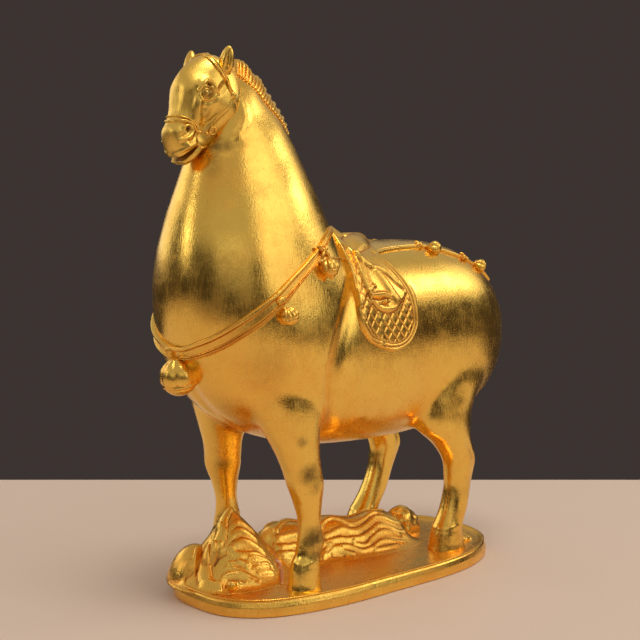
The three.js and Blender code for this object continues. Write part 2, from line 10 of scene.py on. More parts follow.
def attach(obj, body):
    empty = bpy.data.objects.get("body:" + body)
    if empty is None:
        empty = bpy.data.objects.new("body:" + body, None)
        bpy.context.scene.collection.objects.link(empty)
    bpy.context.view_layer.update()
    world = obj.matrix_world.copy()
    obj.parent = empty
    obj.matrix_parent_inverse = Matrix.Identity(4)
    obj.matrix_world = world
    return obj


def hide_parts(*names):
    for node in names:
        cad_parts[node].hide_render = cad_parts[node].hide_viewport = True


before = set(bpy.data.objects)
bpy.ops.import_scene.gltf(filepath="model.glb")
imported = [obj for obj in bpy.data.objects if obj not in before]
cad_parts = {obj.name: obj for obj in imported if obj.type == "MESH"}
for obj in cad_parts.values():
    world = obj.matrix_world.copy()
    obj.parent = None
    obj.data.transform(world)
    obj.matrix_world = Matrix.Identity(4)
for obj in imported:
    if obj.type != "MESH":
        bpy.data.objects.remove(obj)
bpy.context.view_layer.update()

# A gilded bronze horse on its wave-carved base. The tables are in millimetres, the meshes in metres.
# The horse faces -X, its left side is -Y, and the ground is z = 0.
mm = 0.001
scene = bpy.context.scene
print("frame loaded")


# Curves and falloffs

# a value part of the way along the rows of a table, on a smooth curve through them
def along(rows, share):
    place = np.clip(share, 0, 1) * (len(rows) - 1)
    index = np.minimum(np.floor(place).astype(int), len(rows) - 2)
    t = (place - index)[:, None]
    before, start, end, after = (rows[np.clip(index + k, 0, len(rows) - 1)] for k in (-1, 0, 1, 2))
    slopeIn, slopeOut, rise = (end - before) / 2, (after - start) / 2, end - start
    bend = 3 * rise - 2 * slopeIn - slopeOut + t * (slopeIn + slopeOut - 2 * rise)
    return start + t * (slopeIn + t * bend)


def smoothPath(points, count):
    return along(np.array(points, float), np.linspace(0, 1, count))


def softPower(value, squareness):
    return np.sign(value) * np.abs(value) ** (2 / squareness)


def smoothStep(value, low, high):
    t = np.clip((value - low) / (high - low), 0, 1)
    return t * t * (3 - 2 * t)


# 1 in the middle, falling to 0 at a distance of 1
def hump(distance):
    return np.clip(1 - np.square(distance), 0, None) ** 2


def mix(a, b, share):
    return a + (b - a) * share


def unit(vectors):
    return vectors / np.maximum(np.linalg.norm(vectors, axis=-1, keepdims=True), 1e-9)


# Mesh tools

# a grid bent into shape: place gets the two shares of every corner and answers in millimetres
def gridShape(stepsU, stepsV, place):
    shape = bmesh.new()
    bmesh.ops.create_grid(shape, x_segments=stepsU, y_segments=stepsV, size=1)
    corner = np.array([vert.co[:2] for vert in shape.verts])
    share = (corner - corner.min(0)) / np.ptp(corner, 0)
    for vert, point in zip(shape.verts, place(share[:, 0], share[:, 1]) * mm):
        vert.co = point
    bmesh.ops.remove_doubles(shape, verts=shape.verts, dist=0.01 * mm)
    closeShape(shape)
    return shape


def closeShape(shape):
    rim = [edge for edge in shape.edges if edge.is_boundary]
    if rim:
        bmesh.ops.holes_fill(shape, edges=rim, sides=0)
    bmesh.ops.recalc_face_normals(shape, faces=shape.faces)


def makePiece(name, shapes, material):
    whole = bmesh.new()
    for shape in shapes:
        part = bpy.data.meshes.new(name)
        shape.to_mesh(part)
        shape.free()
        whole.from_mesh(part)
        bpy.data.meshes.remove(part)
    mesh = bpy.data.meshes.new(name)
    whole.to_mesh(mesh)
    whole.free()
    mesh.shade_smooth()
    mesh.materials.append(material)
    piece = bpy.data.objects.new(name, mesh)
    scene.collection.objects.link(piece)
    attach(piece, "root")
    return piece


def applyModifiers(piece):
    graph = bpy.context.evaluated_depsgraph_get()
    mesh = bpy.data.meshes.new_from_object(piece.evaluated_get(graph))
    piece.modifiers.clear()
    old = piece.data
    piece.data = mesh
    bpy.data.meshes.remove(old)
    mesh.name = piece.name
    mesh.shade_smooth()


# melts overlapping closed shapes into one skin
def fuse(piece, voxel):
    melt = piece.modifiers.new("Melt", "REMESH")
    melt.mode = "VOXEL"
    melt.voxel_size = voxel * mm
    applyModifiers(piece)


def soften(piece, rounds, weights=None):
    relax = piece.modifiers.new("Soften", "SMOOTH")
    relax.factor = 0.5
    relax.iterations = rounds
    if weights is not None:
        group = piece.vertex_groups.new(name="soften")
        for index in np.flatnonzero(weights > 0.01):
            group.add([int(index)], float(weights[index]), "REPLACE")
        relax.vertex_group = "soften"
    applyModifiers(piece)
    piece.vertex_groups.clear()


def readVectors(mesh, name):
    values = np.empty(len(mesh.vertices) * 3)
    mesh.vertices.foreach_get(name, values)
    return values.reshape(-1, 3)


def writePoints(mesh, spots):
    mesh.vertices.foreach_set("co", (spots * mm).ravel())
    mesh.update()


# raises or sinks the skin along strokes of (path, width, rise); a stroke tapers at its ends
def press(piece, strokes):
    mesh = piece.data
    spots = readVectors(mesh, "co") / mm
    lift = np.zeros(len(spots))
    for path, width, rise in strokes:
        rough = np.array(path, float)
        length = np.linalg.norm(np.diff(rough, axis=0), axis=1).sum()
        line = smoothPath(path, max(3, int(3 * length / width)))
        taper = np.sin(np.pi * np.linspace(0.12, 0.88, len(line))) ** 0.5
        near = np.flatnonzero(((spots > line.min(0) - width) & (spots < line.max(0) + width)).all(1))
        best = np.zeros(len(near))
        for index in range(len(line) - 1):
            apart, run = spots[near] - line[index], line[index + 1] - line[index]
            share = np.clip(apart @ run / max(run @ run, 1e-9), 0, 1)
            gap = np.linalg.norm(apart - share[:, None] * run, axis=1) / width
            best = np.maximum(best, hump(gap) * mix(taper[index], taper[index + 1], share))
        lift[near] += rise * best
    writePoints(mesh, spots + readVectors(mesh, "normal") * lift[:, None])


# averages values over each corner's neighbours
def spread(mesh, values, rounds):
    ends = np.empty(len(mesh.edges) * 2, int)
    mesh.edges.foreach_get("vertices", ends)
    a, b = ends[0::2], ends[1::2]
    count = np.maximum(np.bincount(ends, minlength=len(values)), 1)
    for _ in range(rounds):
        for column in values.T:
            total = np.bincount(a, column[b], len(column)) + np.bincount(b, column[a], len(column))
            column += 0.5 * (total / count - column)
    return values


# writes a mask from 0 to 1 that is strong in hollows, where the gold skin paints shade: deeper orange and
# brown
def markHollows(piece, rounds, depth):
    mesh = piece.data
    spots = readVectors(mesh, "co") / mm
    smooth = spread(mesh, spots.copy(), rounds)
    height = ((smooth - spots) * readVectors(mesh, "normal")).sum(1)
    writeMask(mesh, "hollow", smoothStep(height, 0, depth))


def writeMask(mesh, name, values):
    layer = mesh.attributes.get(name) or mesh.attributes.new(name, "FLOAT", "POINT")
    layer.data.foreach_set("value", np.clip(values, 0, 1).astype(np.float32))


# reports a finished piece by its triangles, which are what the limits count
triangleCounts = {}


def reportPiece(piece):
    piece.data.calc_loop_triangles()
    triangleCounts[piece.name] = len(piece.data.loop_triangles)
    print("made", piece.name, triangleCounts[piece.name], "triangles")


# Camera, floor and light

cameraValues = {
    "place": (-0.63686, -0.68342, 0.291),
    "turn": -42.3,
    "down": 5.66,
    "lens": 67.5,
    "sensorWidth": 36,
    "clipStart": 0.01,
}
floorValues = {
    "behind": 0.302,
    "ahead": 1.1,
    "sides": 2.0,
    "thick": 0.03,
    "color": (0.80, 0.64, 0.55),
    "roughness": 0.55,
}
roomValues = {"wall": (0.045, 0.034, 0.031), "sky": (0.44, 0.40, 0.345), "from": 0.19, "to": 0.45}

# soft boxes: direction and height in degrees, distance, width, height, brightness
lightValues = {
    "window": (-68, 25, 2.0, 1.15, 1.5, 1.0),
    "rightRoom": (-24, 27, 2.0, 1.2, 0.8, 0.8),
    "rightLamp": (-31, 29, 1.6, 0.34, 0.34, 3.4),
    "frontRoom": (-128, 16, 2.2, 2.2, 0.9, 0.34),
    "leftLamp": (153, 19, 1.6, 0.34, 0.5, 2.2),
    "leftRoom": (104, 16, 1.8, 1.3, 0.8, 1.0),
    "top": (-100, 78, 1.5, 0.5, 0.5, 9.0),
}
lightColor = (1.0, 0.94, 0.84)
lightAim = (0, 0, 0.22)


def makeCamera():
    camera = bpy.data.objects.new("camera", bpy.data.cameras.new("camera"))
    camera.location = cameraValues["place"]
    tilt = math.radians(90 - cameraValues["down"])
    camera.rotation_euler = (tilt, 0, math.radians(cameraValues["turn"]))
    camera.data.lens = cameraValues["lens"]
    camera.data.sensor_width = cameraValues["sensorWidth"]
    camera.data.clip_start = cameraValues["clipStart"]
    scene.collection.objects.link(camera)
    scene.camera = camera


def plainMaterial(name, color, roughness):
    material = bpy.data.materials.new(name)
    material.use_nodes = True
    shader = material.node_tree.nodes["Principled BSDF"]
    shader.inputs["Base Color"].default_value = (*color, 1)
    shader.inputs["Roughness"].default_value = roughness
    return material


# a plain slab, square to the camera, that ends a little way behind the horse
def makeFloor():
    shape = bmesh.new()
    bmesh.ops.create_cube(shape, size=1)
    depth = floorValues["behind"] + floorValues["ahead"]
    size = (2 * floorValues["sides"], depth, floorValues["thick"])
    bmesh.ops.scale(shape, vec=size, verts=shape.verts)
    middle = (0, floorValues["behind"] - depth / 2, -floorValues["thick"] / 2)
    bmesh.ops.translate(shape, vec=middle, verts=shape.verts)
    turn = Matrix.Rotation(math.radians(cameraValues["turn"]), 3, "Z")
    bmesh.ops.rotate(shape, cent=(0, 0, 0), matrix=turn, verts=shape.verts)
    mesh = bpy.data.meshes.new("floor")
    shape.to_mesh(mesh)
    shape.free()
    mesh.materials.append(plainMaterial("paleFloor", floorValues["color"], floorValues["roughness"]))
    floor = bpy.data.objects.new("floor", mesh)
    scene.collection.objects.link(floor)


def makeLights():
    aim = Vector(lightAim)
    for name, (compass, rise, distance, width, height, brightness) in lightValues.items():
        light = bpy.data.lights.new(name, "AREA")
        light.shape = "RECTANGLE"
        light.size, light.size_y = width, height
        light.energy = math.pi * brightness * width * height
        light.color = lightColor
        lamp = bpy.data.objects.new(name, light)
        turn, lift = math.radians(compass), math.radians(rise)
        ray = Vector((math.cos(turn) * math.cos(lift), math.sin(turn) * math.cos(lift), math.sin(lift)))
        lamp.location = aim + ray * distance
        lamp.rotation_euler = ray.to_track_quat("Z", "Y").to_euler()
        scene.collection.objects.link(lamp)


# a room that is dark behind the table and pale overhead
def makeRoom():
    world = bpy.data.worlds.new("studio")
    world.use_nodes = True
    tree = world.node_tree
    spot = tree.nodes.new("ShaderNodeTexCoord")
    split = tree.nodes.new("ShaderNodeSeparateXYZ")
    fade = tree.nodes.new("ShaderNodeMapRange")
    fade.interpolation_type = "SMOOTHSTEP"
    fade.inputs["From Min"].default_value = roomValues["from"]
    fade.inputs["From Max"].default_value = roomValues["to"]
    blend = tree.nodes.new("ShaderNodeMix")
    blend.data_type = "RGBA"
    blend.inputs[6].default_value = (*roomValues["wall"], 1)
    blend.inputs[7].default_value = (*roomValues["sky"], 1)
    tree.links.new(spot.outputs["Generated"], split.inputs["Vector"])
    tree.links.new(split.outputs["Z"], fade.inputs["Value"])
    tree.links.new(fade.outputs["Result"], blend.inputs[0])
    tree.links.new(blend.outputs[2], tree.nodes["Background"].inputs["Color"])
    scene.world = world
    scene.view_settings.view_transform = "Standard"


makeCamera()
makeFloor()
makeLights()
makeRoom()
print("camera, floor and light set")


# Gilding

def addNode(tree, kind, **settings):
    node = tree.nodes.new("ShaderNode" + kind)
    for name, value in settings.items():
        if hasattr(node, name):
            setattr(node, name, value)
        else:
            node.inputs[name.replace("_", " ")].default_value = value
    return node


def mixColors(tree, share, first, second):
    node = addNode(tree, "Mix", data_type="RGBA")
    for socket, value in ((0, share), (6, first), (7, second)):
        if isinstance(value, bpy.types.NodeSocket):
            tree.links.new(value, node.inputs[socket])
        else:
            node.inputs[socket].default_value = value
    return node.outputs[2]


def remap(tree, value, low, high, toLow=0.0, toHigh=1.0):
    node = addNode(tree, "MapRange", clamp=True)
    tree.links.new(value, node.inputs["Value"])
    for name, number in (("From Min", low), ("From Max", high), ("To Min", toLow), ("To Max", toHigh)):
        node.inputs[name].default_value = number
    return node.outputs["Result"]


def calculate(tree, operation, first, second):
    node = addNode(tree, "Math", operation=operation)
    for socket, value in zip(node.inputs, (first, second)):
        if isinstance(value, bpy.types.NodeSocket):
            tree.links.new(value, socket)
        else:
            socket.default_value = value
    return node.outputs[0]


gildingValues = {
    "bright": (1.0, 0.65, 0.13, 1),
    "deep": (0.90, 0.40, 0.06, 1),
    # this brown darkens painted shade in hollows, and random specks
    "brown": (0.26, 0.12, 0.035, 1),
    # the next colour darkens real wear, and painted shade at the throat and on the head
    "wornAndShade": (0.12, 0.07, 0.03, 1),
    "brush": (900, 900, 140),
    "grainDepth": 0.0004,
}


# the gold leaf's colour, polish and grain, shared by every material on the horse; its colour also carries
# painted shade in hollows and at listed places
def makeGoldSkin():
    group = bpy.data.node_groups.new("goldSkin", "ShaderNodeTree")
    for name, kind, side in (
        ("Hollow", "NodeSocketFloat", "INPUT"),
        ("WornAndShade", "NodeSocketFloat", "INPUT"),
        ("Deepness", "NodeSocketFloat", "INPUT"),
        ("Polish", "NodeSocketFloat", "INPUT"),
        ("Color", "NodeSocketColor", "OUTPUT"),
        ("Roughness", "NodeSocketFloat", "OUTPUT"),
        ("Height", "NodeSocketFloat", "OUTPUT"),
    ):
        group.interface.new_socket(name=name, in_out=side, socket_type=kind)
    enter = group.nodes.new("NodeGroupInput")
    leave = group.nodes.new("NodeGroupOutput")
    place = addNode(group, "TexCoord").outputs["Object"]

    def cloud(scale, detail, roughness=0.5):
        node = addNode(group, "TexNoise", Scale=scale, Detail=detail, Roughness=roughness)
        group.links.new(place, node.inputs["Vector"])
        return node.outputs["Fac"]

    brush = addNode(group, "Mapping", Scale=gildingValues["brush"])
    group.links.new(place, brush.inputs["Vector"])
    strokes = addNode(group, "TexNoise", Scale=1.0, Detail=3.0)
    group.links.new(brush.outputs["Vector"], strokes.inputs["Vector"])

    broad = cloud(16.0, 3.0)
    patches = cloud(70.0, 4.0, 0.6)
    grain = cloud(900.0, 2.0)
    deepness = calculate(group, "ADD", enter.outputs["Deepness"], remap(group, broad, 0.35, 0.7, -0.18, 0.22))
    deepness = calculate(group, "ADD", deepness, remap(group, patches, 0.4, 0.75, -0.05, 0.22))
    # painted shade: hollows deepen the gold towards orange
    deepness = calculate(group, "ADD", deepness, enter.outputs["Hollow"])
    tone = mixColors(group, remap(group, deepness, 0, 1), gildingValues["bright"], gildingValues["deep"])
    # painted shade: hollows, broken up by the patches, darken towards brown
    paintedHollowShade = calculate(group, "MULTIPLY", enter.outputs["Hollow"], remap(group, patches, 0.3, 0.6, 0.35, 1))
    tone = mixColors(group, remap(group, paintedHollowShade, 0.3, 0.9, 0, 0.85), tone, gildingValues["brown"])
    speck = remap(group, cloud(420.0, 3.0, 0.7), 0.66, 0.74, 0, 0.45)
    tone = mixColors(group, speck, tone, gildingValues["brown"])
    # worn places darken, and so does painted shade at listed places: the throat under the jaw and the head's
    # mouth, nostrils, eyes and cheeks
    wearAndShadeNoise = remap(group, cloud(260.0, 4.0, 0.7), 0.3, 0.55, 0.3, 1)
    wearAndShade = calculate(group, "MULTIPLY", enter.outputs["WornAndShade"], wearAndShadeNoise)
    tone = mixColors(group, wearAndShade, tone, gildingValues["wornAndShade"])
    group.links.new(tone, leave.inputs["Color"])

    gloss = calculate(group, "ADD", enter.outputs["Polish"], remap(group, patches, 0.35, 0.7, -0.04, 0.1))
    gloss = calculate(group, "ADD", gloss, remap(group, strokes.outputs["Fac"], 0.35, 0.7, -0.03, 0.06))
    gloss = calculate(group, "ADD", gloss, calculate(group, "MULTIPLY", enter.outputs["Hollow"], 0.16))
    gloss = calculate(group, "ADD", gloss, calculate(group, "MULTIPLY", wearAndShade, 0.14))
    group.links.new(gloss, leave.inputs["Roughness"])

    height = calculate(group, "ADD", calculate(group, "MULTIPLY", grain, 0.5), strokes.outputs["Fac"])
    height = calculate(group, "ADD", height, calculate(group, "MULTIPLY", patches, 1.5))
    group.links.new(height, leave.inputs["Height"])
    return group


goldSkin = makeGoldSkin()


def goldMaterial(name, deepness, polish, bump):
    material = bpy.data.materials.new(name)
    material.use_nodes = True
    tree = material.node_tree
    shader = tree.nodes["Principled BSDF"]
    shader.inputs["Metallic"].default_value = 1.0
    skin = tree.nodes.new("ShaderNodeGroup")
    skin.node_tree = goldSkin
    skin.inputs["Deepness"].default_value = deepness
    skin.inputs["Polish"].default_value = polish
    # masks read from the piece: hollows, for painted shade, and listed spots of wear and painted shade
    for mask, socket in (("hollow", "Hollow"), ("wornAndShade", "WornAndShade")):
        reader = addNode(tree, "Attribute", attribute_name=mask)
        tree.links.new(reader.outputs["Fac"], skin.inputs[socket])
    tree.links.new(skin.outputs["Color"], shader.inputs["Base Color"])
    tree.links.new(skin.outputs["Roughness"], shader.inputs["Roughness"])
    relief = addNode(tree, "Bump", Strength=bump, Distance=gildingValues["grainDepth"])
    tree.links.new(skin.outputs["Height"], relief.inputs["Height"])
    tree.links.new(relief.outputs["Normal"], shader.inputs["Normal"])
    return material


# name, deepness, polish, grain
bodyGold = goldMaterial("burnishedGold", 0.1, 0.2, 0.25)
headGold = goldMaterial("satinGold", 0.02, 0.31, 0.25)
carvedGold = goldMaterial("carvedGold", 0.25, 0.26, 0.35)
baseGold = goldMaterial("baseGold", 0.32, 0.27, 0.4)


# The horse's body: trunk, neck, legs and tail

# sections from the tail to the poll: back or crest (x, z), belly or chest (x, z), half width, widest
trunkTable = np.array([
    (164, 188, 163, 163, 18, 0.50),
    (157, 219, 153, 139, 40, 0.50),
    (142, 239, 135, 121, 53, 0.50),
    (117, 253, 109, 109, 61, 0.50),
    (82, 259.5, 77, 104, 63, 0.50),
    (43, 260, 41, 102, 63, 0.50),
    (9, 260, 5, 103, 65, 0.48),
    (-19, 262, -40, 107, 66, 0.46),
    (-27, 270, -85, 119, 66, 0.44),
    (-30, 279, -118, 138, 65, 0.42),
    (-33, 289, -138, 161, 62, 0.41),
    (-37, 300, -151, 189, 58, 0.41),
    (-42, 311, -156, 220, 53, 0.42),
    (-48, 323, -154.5, 250, 46, 0.43),
    (-54, 337, -149, 278, 37, 0.44),
    (-62.5, 351, -141.5, 301, 30, 0.45),
    (-72.5, 365, -135, 320, 24, 0.46),
    (-85, 378, -127, 335, 19, 0.48),
    (-101, 385, -117, 352, 13, 0.50),
], float)
# height, offset of the centre along X, offset outwards, half length, half width
foreLegTable = np.array([
    (178, -10, -18, 38, 22),
    (150, -9, -13, 31, 24),
    (128, -8, -7, 22, 19),
    (112, -6, -3, 16.8, 15.4),
    (98, -3, -1, 14.4, 13.4),
    (88, -1, 0, 13.6, 12.8),
    (76, 1, 0, 11, 10.4),
    (62, 3, 0, 8.8, 8.2),
    (52, 4, 0, 9.2, 8.6),
    (44, 4, 0, 10.4, 9.6),
    (36, 1.5, 0, 9.5, 9.1),
    (29, -1, 0, 10.8, 10.2),
    (12, -2, 0, 12.4, 11.2),
    (6, -2, 0, 12.4, 11.2),
], float)
hindLegTable = np.array([
    (182, 16, -18, 36, 25),
    (152, 8, -12, 37, 25),
    (128, -3, -7, 32, 21),
    (111, -4, -2, 26, 17),
    (98, 4, 0, 18.4, 13.4),
    (84, 12.5, 0, 15.6, 11.4),
    (72, 12.5, 0, 13.4, 10.2),
    (60, 11, 0, 12, 9.4),
    (44, 7, 0, 12.4, 10),
    (34, 2, 0, 12.4, 10.6),
    (27, -1, 0, 13.2, 11.4),
    (12, -1, 0, 15.8, 13),
    (6, -1, 0, 15.8, 13),
], float)
bodyValues = {
    "trunkSquareness": 2.25,
    "crestSquareness": 1.8,
    "crestZone": (14.7, 16.2),
    "legSquareness": 2.2,
    "floorHeight": 11,
    "hockHeight": 90,
    "feet": (
        {"table": foreLegTable, "x": -73, "y": -49, "lean": 0, "tuck": 0},
        {"table": foreLegTable, "x": -73, "y": 49, "lean": 0, "tuck": 4.5},
        {"table": hindLegTable, "x": 80, "y": -49, "lean": 0, "tuck": 0},
        {"table": hindLegTable, "x": 67, "y": 38, "lean": 0.22, "tuck": 0},
    ),
    "tuckZone": (66, 112),
    "voxel": 1.812,
    "softRounds": 4,
    "lastRounds": 2,
    "joinRounds": 45,
    "joinZone": (92, 118, 178, 215),
    "trunkMesh": (200, 140),
    "legMesh": (90, 48),
    "hollows": (26, 1.6),
}
# roll, groove and flare each give a height, a reach and a rise: the flare's height is
# over the ground, the other two are over the coronet
hoofValues = {
    "below": 45,
    "coronet": {"fore": 29.5, "hind": 28.0},
    "roll": (2.2, 2.5, 0.3),
    "groove": (0, 1.5, -0.3),
    "flare": (11, 5, 0.6),
}
tailValues = {
    "root": (148, 236),
    "tip": (171, 176),
    "radius": 7.5,
    "droop": 1.4,
    "swell": 0.5,
    "flatness": 0.6,
    "mesh": (40, 32),
}


# trunk's skin by number of section (0 tail, 18 poll) and angle (0 back, half a turn belly, left first)
def trunkSkin(section, angle, proud=0):
    section, angle = np.broadcast_arrays(np.atleast_1d(section).astype(float), angle)
    row = along(trunkTable, section / (len(trunkTable) - 1))
    top, under = row[:, 0:2], row[:, 2:4]
    centre = under + (top - under) * row[:, 5:6]
    slim = smoothStep(section, *bodyValues["crestZone"]) * (np.cos(angle) > 0)
    squareness = mix(bodyValues["trunkSquareness"], bodyValues["crestSquareness"], slim)
    rise = softPower(np.cos(angle), squareness)[:, None]
    side = softPower(np.sin(angle), squareness)
    point = centre + np.where(rise > 0, top - centre, centre - under) * rise
    skin = np.stack([point[:, 0], -row[:, 4] * side, point[:, 1]], 1)
    if np.any(proud):
        skin = skin + trunkNormal(section, angle) * np.reshape(proud, (-1, 1))
    return skin


def trunkNormal(section, angle):
    step, swing = 0.07, 0.02
    forward = trunkSkin(section + step, angle) - trunkSkin(section - step, angle)
    sideways = trunkSkin(section, angle + swing) - trunkSkin(section, angle - swing)
    return unit(np.cross(forward, sideways))


def trunkShape():
    last = len(trunkTable) - 1
    return gridShape(*bodyValues["trunkMesh"], lambda u, v: trunkSkin(last * u, 2 * np.pi * v))


def legShape(foot):
    side = np.sign(foot["y"])

    def place(u, v):
        height, forward, out, long, wide = along(foot["table"], u).T
        aboveHock = np.minimum(1, bodyValues["hockHeight"] / height)
        shift = foot["lean"] * np.maximum(0, height - bodyValues["floorHeight"]) * aboveHock
        squareness = bodyValues["legSquareness"]
        x = foot["x"] + forward + shift + long * softPower(np.cos(2 * np.pi * v), squareness)
        tuck = foot["tuck"] * smoothStep(height, *bodyValues["tuckZone"])
        y = foot["y"] + side * (out - tuck) + wide * softPower(np.sin(2 * np.pi * v), squareness)
        return np.stack([x, y, height], 1)

    return gridShape(*bodyValues["legMesh"], place)


def tailPoint(t, angle):
    x = mix(tailValues["root"][0], tailValues["tip"][0], np.sin(t * np.pi / 2))
    z = mix(tailValues["root"][1], tailValues["tip"][1], t ** tailValues["droop"])
    size = tailValues["radius"] * (0.75 + tailValues["swell"] * np.sin(np.pi * t)) * (1 - 0.55 * t ** 8)
    return np.stack([x + tailValues["flatness"] * size * np.cos(angle), size * np.sin(angle), z], 1)


def tailShape():
    return gridShape(*tailValues["mesh"], lambda u, v: tailPoint(u, 2 * np.pi * v))


def mirrored(path):
    return [(x, -y, z) for x, y, z in path]


def trunkPath(places, proud=0):
    sections, angles = np.array(places, float).T
    return [tuple(point) for point in trunkSkin(sections, np.radians(angles), proud)]


# the few soft folds: behind the shoulder, over the elbow, before the thigh, down the breast
def bodyFolds():
    folds = [
        (trunkPath([(7.65, 58), (7.95, 76), (7.98, 90), (7.85, 106), (7.4, 128), (7.2, 140)]), 9, -2.6),
        (trunkPath([(7.0, 62), (7.25, 80), (7.3, 95), (7.1, 110), (6.8, 125)]), 14, 1.4),
        (trunkPath([(3.9, 120), (4.3, 130), (4.9, 136)]), 12, -1.6),
        (trunkPath([(17.4, 83), (16.9, 83.5), (16.5, 85.5), (16.24, 91.5), (16.14, 98), (16.1, 107.5)]),
         5, 1.2),
        (trunkPath([(15.76, 104), (15.8, 114), (15.82, 124), (16.1, 139), (15.84, 153)]), 6, -0.7),
    ]
    folds += [(mirrored(path), width, rise) for path, width, rise in folds]
    folds.append((trunkPath([(9.9, 180), (9.2, 180), (8.5, 180)]), 9, -1.6))
    return folds


def legFolds():
    folds = []
    for foot in bodyValues["feet"]:
        x, y, out = foot["x"], foot["y"], np.sign(foot["y"])
        fore = foot["table"] is foreLegTable

        def at(height, dx, dy):
            lean = foot["lean"] * (height - bodyValues["floorHeight"])
            return (x + dx + lean, y + out * dy, height)

        if fore:
            folds += [
                ([at(106, -14, 6), at(92, -13, 5), at(80, -10, 4)], 6, 0.9),
                ([at(84, 6, 10), at(66, 8, 7), at(52, 11, 6)], 4, -0.7),
                ([at(84, 6, -10), at(66, 8, -7), at(52, 11, -6)], 4, -0.7),
                ([at(47, 14, 0), at(42, 13, 0)], 6, 1.2),
            ]
        else:
            folds += [
                ([at(102, 24, 0), at(94, 29, 0), at(86, 28, 0)], 7, 1.6),
                ([at(98, 8, 13), at(84, 19, 11), at(64, 18, 9)], 5, -0.8),
                ([at(98, 8, -13), at(84, 19, -11), at(64, 18, -9)], 5, -0.8),
                ([at(47, 19, 0), at(40, 16, 0)], 6, 1.2),
            ]
    return folds


# hooves: a groove at the coronet and a faint flare above the sole
def shapeHooves(piece):
    spots = readVectors(piece.data, "co") / mm
    normals = readVectors(piece.data, "normal")
    flat = unit(normals * (1, 1, 0))
    height = spots[:, 2]
    coronet = np.where(spots[:, 0] < 0, hoofValues["coronet"]["fore"], hoofValues["coronet"]["hind"])
    lift = np.zeros(len(spots))
    for name, foot in (("roll", coronet), ("groove", coronet), ("flare", 0)):
        above, reach, rise = hoofValues[name]
        lift += rise * hump((height - foot - above) / reach)
    writePoints(piece.data, spots + flat * (lift * (height < hoofValues["below"]))[:, None])


def makeBody():
    shapes = [trunkShape(), tailShape()] + [legShape(foot) for foot in bodyValues["feet"]]
    body = makePiece("horseBody", shapes, bodyGold)
    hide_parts("horse_figure")
    fuse(body, bodyValues["voxel"])
    soften(body, bodyValues["softRounds"])
    low, full, fade, none = bodyValues["joinZone"]
    height = readVectors(body.data, "co")[:, 2] / mm
    weights = smoothStep(height, low, full) * (1 - smoothStep(height, fade, none))
    soften(body, bodyValues["joinRounds"], weights)
    press(body, bodyFolds())
    press(body, legFolds())
    shapeHooves(body)
    soften(body, bodyValues["lastRounds"])
    markHollows(body, *bodyValues["hollows"])
    reportPiece(body)
    return body


horseBody = makeBody()


# rubbed and stained places on the body, and painted shadow at the throat under the jaw: centre, reach,
# strength
wornAndShadeValues = (
    ((-80, -60, 98), 7, 0.85),
    ((-75, -60, 88), 5, 0.5),
    ((-81, 38, 91), 6, 0.75),
    ((-71, -57, 50), 8, 0.9),
    ((-71, -57, 38), 6, 0.8),
    ((-86, -60, 122), 4, 0.6),
    ((-144, -38, 236), 24, 0.3),
    ((-118, -62, 175), 18, 0.25),
    ((95, -48, 60), 10, 0.35),
    # painted shadow at the throat, under the jaw
    ((-129.5, -7, 330), 7, 0.75),
    ((-127, -15, 329), 7, 0.75),
    ((-121.5, -21.5, 329), 4.5, 0.6),
    ((-130.6, -16, 321), 6, 0.5),
    ((-131.7, -19.5, 313), 6, 0.3),
)


# writes a mask of worn places and painted shade from (centre, reach, strength) spots
def markWornAndShade(piece, places):
    spots = readVectors(piece.data, "co") / mm
    wornAndShade = np.zeros(len(spots))
    for centre, reach, strength in places:
        wornAndShade = np.maximum(wornAndShade, strength * hump(np.linalg.norm(spots - centre, axis=1) / (1.6 * reach)))
    writeMask(piece.data, "wornAndShade", wornAndShade)


markWornAndShade(horseBody, wornAndShadeValues)


# The head

# how far down the skull, reach of face and jaw from the skull's line, half its width, the face's squareness
headTable = np.array([
    (0, 4, 6, 6, 2.2),
    (4, 10.5, 16, 12.5, 2.1),
    (11, 16, 22.5, 16.5, 1.8),
    (21, 20.5, 28, 19.2, 1.62),
    (31, 20.5, 30, 19.5, 2.15),
    (40, 18, 31, 17.2, 2.5),
    (49, 15.6, 27, 14.2, 2.6),
    (58, 15.2, 18.5, 12.3, 2.6),
    (65, 15, 13.5, 13.2, 2.6),
    (73, 9, 10.5, 11.8, 2.5),
    (80, 0.8, 7, 7.2, 2.3),
], float)
headValues = {
    "top": (-116, 391),
    "tilt": math.radians(25),
    "jawSquareness": 3.6,
    "voxel": 0.58,
    "softRounds": 4,
    "lastRounds": 1,
    "hollows": (12, 0.6),
    "mesh": (90, 96),
    "earMesh": (40, 40),
    "eyeMesh": (40, 28),
    "eyeHollows": (4, 0.06),
    "mouth": {"front": (82, 1.4), "corner": (65.6, -5.2), "opening": 5.0, "cornerOpening": 1.3},
    "eye": {"down": 32.2, "face": 5.5, "sink": 3.9, "radius": 5.0},
    "ears": (
        {"side": -1, "root": (-117, -13.5, 379), "tip": (-118, -20, 397.6), "width": 10},
        {"side": 1, "root": (-124, 18.5, 376), "tip": (-119.5, 21.5, 398), "width": 9.8},
    ),
}
headDown = np.array([-math.sin(headValues["tilt"]), 0, -math.cos(headValues["tilt"])])
headFace = np.array([-math.cos(headValues["tilt"]), 0, math.sin(headValues["tilt"])])
headTop = np.array([headValues["top"][0], 0, headValues["top"][1]])


def inHead(down, face, y):
    point = headTop + np.outer(np.atleast_1d(down), headDown) + np.outer(np.atleast_1d(face), headFace)
    point[:, 1] = y
    return point


def headRow(down):
    share = np.interp(down, headTable[:, 0], np.arange(len(headTable))) / (len(headTable) - 1)
    return along(headTable, np.atleast_1d(share))


